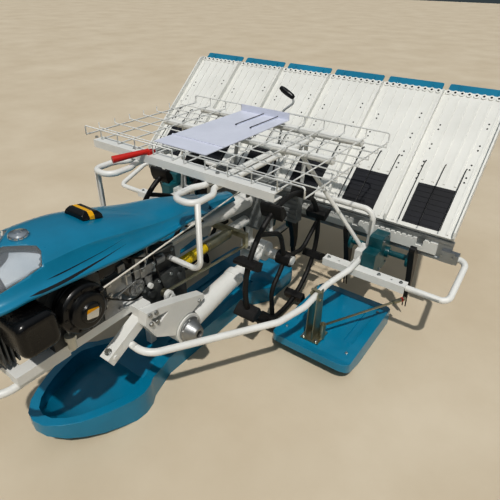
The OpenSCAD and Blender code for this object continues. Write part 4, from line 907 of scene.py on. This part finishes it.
def dressPlatform(s):
    out = Vector((0, -math.sin(s["slope"]), math.cos(s["slope"])))
    turn = out.to_track_quat("Z", "Y").to_matrix().to_4x4()
    bosses = [(k - (s["scallops"] - 1) / 2) * s["scallopPitch"] for k in range(s["scallops"])]
    base, top, high, sides = s["scallop"]
    holeShade, comb, wires = (bmesh.new() for _ in range(3))
    for row in rowMiddles(s):
        spots = [(x, up + k * s["pairGap"], s["holeRadius"], 0.0002) for x, up in s["pairs"] for k in (0, 1)]
        spots += [(x, s["length"] - s["scallopHoleIn"], s["scallopHole"], high + 0.0004) for x in bosses]
        for x, up, radius, lift in spots:
            place = Matrix.Translation(onPlatform(s, row + x, up, lift)) @ turn
            bmesh.ops.create_cone(holeShade, cap_ends=True, segments=s["holeSides"], radius1=radius, radius2=radius,
                                  depth=0.0006, matrix=place)
        for x in bosses:
            middle = onPlatform(s, row + x, s["length"] - s["scallopIn"], high / 2 + 0.0002)
            bmesh.ops.create_cone(comb, cap_ends=True, segments=sides, radius1=base, radius2=top, depth=high,
                                  matrix=Matrix.Translation(middle) @ turn)
        for x in s["wires"]:
            addHose(wires, [onPlatform(s, row + x, up, lift) for up, lift in s["wireRoute"]], s["wireRadius"])
    # black discs over the panel's holes, painted shade for the dark inside them
    finishPiece("panelHoleShade", holeShade, "blackNylon", "platform_panel")
    finishPiece("panelScallops", comb, "whitePolypropylene", "platform_panel")
    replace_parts(finishPiece("pressWires", wires, "darkWire", "press_rods", smooth=50.0), "press_rods")


dressPlatform(platform)
print("platform details done")


def spotsAt(x, places):
    return [(x, y, z) for y, z in places]


def spotsRound(x, y, z, radius, angles):
    return [(x, y + radius * math.cos(a), z + radius * math.sin(a)) for a in angles]


# bolts by node: direction, radius over the corners in metres, and the places on the machine's left
boltSpots = {
    "engine_frame": [
        ((1, 0, 0), 0.0070, spotsAt(0.2075, [(-0.690, 0.424), (-0.664, 0.420), (-0.690, 0.388), (-0.664, 0.384)])),
        ((0, -0.454, 0.891), 0.0100, [(0.150, -0.829, 0.3375)]),
        ((1, 0, 0), 0.0060, [(0.2065, -0.455, 0.340)])],
    "pivot_covers": [
        ((1, 0, 0), 0.0050, spotsRound(0.2178, -0.52, 0.25, 0.044, (0.6, 1.65, 2.7, 3.75, 4.8, 5.85)))],
    "transmission_case": [
        ((1, 0, 0), 0.0055, spotsAt(0.1185, [(-0.630, 0.448), (-0.560, 0.450), (-0.500, 0.450), (-0.436, 0.448),
                                             (-0.436, 0.380), (-0.436, 0.310), (-0.630, 0.380), (-0.590, 0.290)])),
        ((1, 0, 0), 0.0050, spotsAt(0.0925, [(-0.585, 0.520), (-0.520, 0.532), (-0.462, 0.525), (-0.590, 0.475)]))],
    "float_beams": [
        ((0, 0, 1), 0.0065, [(x, 0.161, 0.3042) for x in (0.432, 0.665, 0.760)]),
        ((-1, 0, 0), 0.0060, spotsAt(0.5255, [(0.205, 0.288), (0.270, 0.288), (0.270, 0.335)]))],
    "float_brackets": [
        ((0, 0, 1), 0.0065, [(x, y, 0.0915) for x in (0.492, 0.550) for y in (-0.138, -0.070)])],
    "side_floats": [
        ((0, 0, 1), 0.0050, [(x, y, 0.0845) for x, y in ((0.40, 0.20), (0.68, 0.20), (0.40, -0.12), (0.68, -0.12))])],
    "rear_case": [
        ((1, 0, 0), 0.0055, spotsAt(0.0955, [(0.136, 0.520), (0.176, 0.525), (0.136, 0.380), (0.176, 0.350),
                                             (0.176, 0.440)]))],
    "planting_cases": [
        ((1, 0, 0), 0.0050, spotsAt(0.6305, [(0.262, 0.268), (0.330, 0.272), (0.262, 0.405), (0.325, 0.405)]))],
    "gate_rail": [
        ((0, -1, 0), 0.0050, [(x, 0.3595, 0.372) for x in (0.852, 0.895)])],
    "rack_bars": [
        ((0, 0, 1), 0.0060, [(0.306, 0.058, 0.8015), (0.430, -0.325, 0.8012), (0.205, -0.325, 0.8012)])],
    "wheel_left": [
        ((1, 0, 0), 0.0045, spotsRound(0.3335, 0.0, 0.33, 0.022, (0.3, 1.87, 3.44, 5.01)))],
}


def makeBolts(spots):
    # mirrored to the right, apart from the left wheel's, because the right wheel is another body
    for node, groups in spots.items():
        bm = bmesh.new()
        for side in (1,) if node == "wheel_left" else (1, -1):
            for along, size, places in groups:
                for place in places:
                    addBolt(bm, (side * place[0], *place[1:]), (side * along[0], *along[1:]), size)
        finishPiece(node + "_bolts", bm, "brightZinc", node)


makeBolts(boltSpots)
print("bolts done")


# plain tabs at the platform's top edge, each with two ribs
tabs = {
    "first": 0.71605,  # distance up the slope
    "length": 0.048,
    "half": 0.136,
    "under": -0.018,
    "thick": 0.005,
    "corner": 0.008,
    "ribs": (-0.090, 0.082),
    "rib": (0.008, 0.038, 0.004),  # width, length and how far it stands above the tab's underside
}


def makeTabs(s):
    bm = bmesh.new()
    place = Matrix.Translation((platform["shift"], *platform["foot"])) @ Matrix.Rotation(platform["slope"], 4, "X")
    wide, long, up = s["rib"]
    for row in rowMiddles(platform):
        part = bmesh.new()
        addBlock(part, (row - s["half"], s["first"], s["under"]),
                 (row + s["half"], s["first"] + s["length"], s["under"] + s["thick"]), 0.0)
        corners = [e for e in edgesAlong(part, 2) if e.verts[0].co.y > s["first"] + 0.01]
        bmesh.ops.bevel(part, geom=corners, offset=s["corner"], segments=4, affect="EDGES", profile=0.5, material=-1)
        for x in s["ribs"]:
            addBlock(part, (row + x, s["first"], s["under"] + up),
                     (row + x + wide, s["first"] + long, s["under"] + up + s["thick"]), 0.001)
        bmesh.ops.transform(part, matrix=place, verts=part.verts)
        pourInto(bm, part)
    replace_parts(finishPiece("plainTabs", bm, "tealMoulding", "extension_tabs", edge=0.0008), "extension_tabs")


makeTabs(tabs)


# the starter's pull cord, taut from the housing to its grip in a guide plate on the rear case
pull = {
    "from": (0.184, -0.831, 0.6045),
    "to": (0.072, -0.007, 0.591),
    "diameter": 0.006,
    "grip": (0.0005, 0.034, 0.0075, 0.0085),  # from and to along the cord, and its two radii
    "bush": (-0.012, 0.005, 0.0065, 0.0055),
    "guideHalf": 0.003,
    # y and z of two corners of each plate, all counted from the cord's end
    "guide": [((-0.004, -0.010), (0.040, 0.008)), ((0.036, -0.0507), (0.150, -0.039)),
              ((0.030, -0.046), (0.060, 0.002))],
}


def makePullCord(s):
    start, end = Vector(s["from"]), Vector(s["to"])
    along = (end - start).normalized()
    cord, grip, guide, bush = (bmesh.new() for _ in range(4))
    addBar(cord, start, end, s["diameter"] / 2, 16)
    cordPiece = finishPiece("pullCord", cord, "whiteCord", "starter_rope")
    near, far, slim, thick = s["grip"]
    addBar(grip, end + along * near, end + along * far, slim, 20, thick)
    gripPiece = finishPiece("pullGrip", grip, "blackNylon", "starter_rope", edge=0.0015)
    for low, high in s["guide"]:
        addBlock(guide, end + Vector((-s["guideHalf"], *low)), end + Vector((s["guideHalf"], *high)), 0.001)
    finishPiece("pullGuide", guide, "brightZinc", "rear_case")
    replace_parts(cordPiece, "starter_rope")
    near, far, wide, narrow = s["bush"]
    addBar(bush, start + along * near, start + along * far, wide, 20, narrow)
    finishPiece("cordBush", bush, "blackNylon", "recoil_starter")


makePullCord(pull)


# a red collar near the tip of each marker rod, on a core inside the rod's own sleeve
markers = {
    "pivot": (0.558, -0.104, 0.157),
    "tip": (0.773, 0.241, 0.180),
    "core": 0.030,
    "radius": 0.0065,
    "collar": (0.75, 0.45),  # from and to, in lengths of the core from the tip
    "collarRadius": 0.00975,
}


def makeMarkerCollars(s):
    for side, node in ((1, "marker_left"), (-1, "marker_right")):
        pivot, tip = (Vector((side * p[0], p[1], p[2])) for p in (s["pivot"], s["tip"]))
        back = (pivot - tip).normalized() * s["core"]
        first, last = s["collar"]
        bm = bmesh.new()
        addBar(bm, tip + back, tip, s["radius"], 18)
        addBar(bm, tip + back * first, tip + back * last, s["collarRadius"], 18)
        finishPiece(node + "_cap", bm, "redVinyl", node, edge=0.0008)


makeMarkerCollars(markers)


# cables clipped under the handle's tubes, and the clutch lever beside each grip
handle = {
    "x": 0.080,
    "knee": (0.470, 0.262),  # y, z
    "top": (0.930, 0.772),
    "below": 0.019,
    "cables": (-0.006, 0.006),
    "cableRadius": 0.0032,
    "along": (0.95, 0.75, 0.5, 0.25, 0.06),  # from the knee (0) to the top (1)
    "boxOutlets": ((0.050, 0.906, 0.765), (0.058, 0.906, 0.765)),
    "beyondKnee": ((0.400, 0.240), (0.300, 0.243)),
    "clips": (0.18, 0.42, 0.66, 0.88),
    "clipHalf": 0.003,
    "clipRadius": 0.0152,
    "saddleRadius": 0.0100,
    "lever": (0.262, 1.028, 0.830),
    "leverRoute": [(0, 0, 0), (0, 0.010, -0.020), (0, 0.040, -0.034), (0, 0.110, -0.030), (0, 0.140, -0.034)],
    "leverRadius": 0.0040,
    "holder": ((-0.012, -0.014, -0.008), (0.012, 0.014, 0.010), 0.003),
    "leverCable": [(0.262, 1.018, 0.826), (0.232, 0.968, 0.818), (0.110, 0.945, 0.772), (0.086, 0.918, 0.740)],
    "leverCableRadius": 0.0030,
}


def makeCables(s):
    dark, bright = bmesh.new(), bmesh.new()
    rise = Vector((0, s["top"][0] - s["knee"][0], s["top"][1] - s["knee"][1]))
    below = Vector((0, rise.z, -rise.y)).normalized() * s["below"]
    half = rise.normalized() * s["clipHalf"]
    for side in (1, -1):
        foot = Vector((side * s["x"], *s["knee"]))
        for gap, (x, y, z) in zip(s["cables"], s["boxOutlets"]):
            route = [foot + rise * t + below + Vector((gap, 0, 0)) for t in s["along"]]
            rest = [Vector((foot.x + gap, *place)) for place in s["beyondKnee"]]
            addHose(dark, [Vector((side * x, y, z))] + route + rest, s["cableRadius"])
        for t in s["clips"]:
            middle = foot + rise * t
            addBar(dark, middle - half, middle + half, s["clipRadius"], 20)
            addBar(dark, middle + below - half, middle + below + half, s["saddleRadius"])
        x, y, z = s["lever"]
        start = Vector((side * x, y, z))
        addHose(bright, [start + Vector(step) for step in s["leverRoute"]], s["leverRadius"])
        low, high, edge = s["holder"]
        addBlock(dark, start + Vector(low), start + Vector(high), edge)
        addHose(dark, [(side * x, y, z) for x, y, z in s["leverCable"]], s["leverCableRadius"])
    finishPiece("handleCables", dark, "blackRubber", "handle_frame", smooth=45.0)
    finishPiece("clutchLevers", bright, "brightZinc", "handle_frame", smooth=45.0)


makeCables(handle)


# two thin rods laid along the rack's plate
plateRods = {"x": (-0.059, 0.019), "y": (0.120, 0.338), "z": 0.8195, "radius": 0.0024}


def makePlateRods(s):
    bm = bmesh.new()
    for x in s["x"]:
        addBar(bm, (x, s["y"][0], s["z"]), (x, s["y"][1], s["z"]), s["radius"], 12)
    finishPiece("plateRods", bm, "darkWire", "rack_plate")


makePlateRods(plateRods)
print("tabs, cord, cables and rods done")
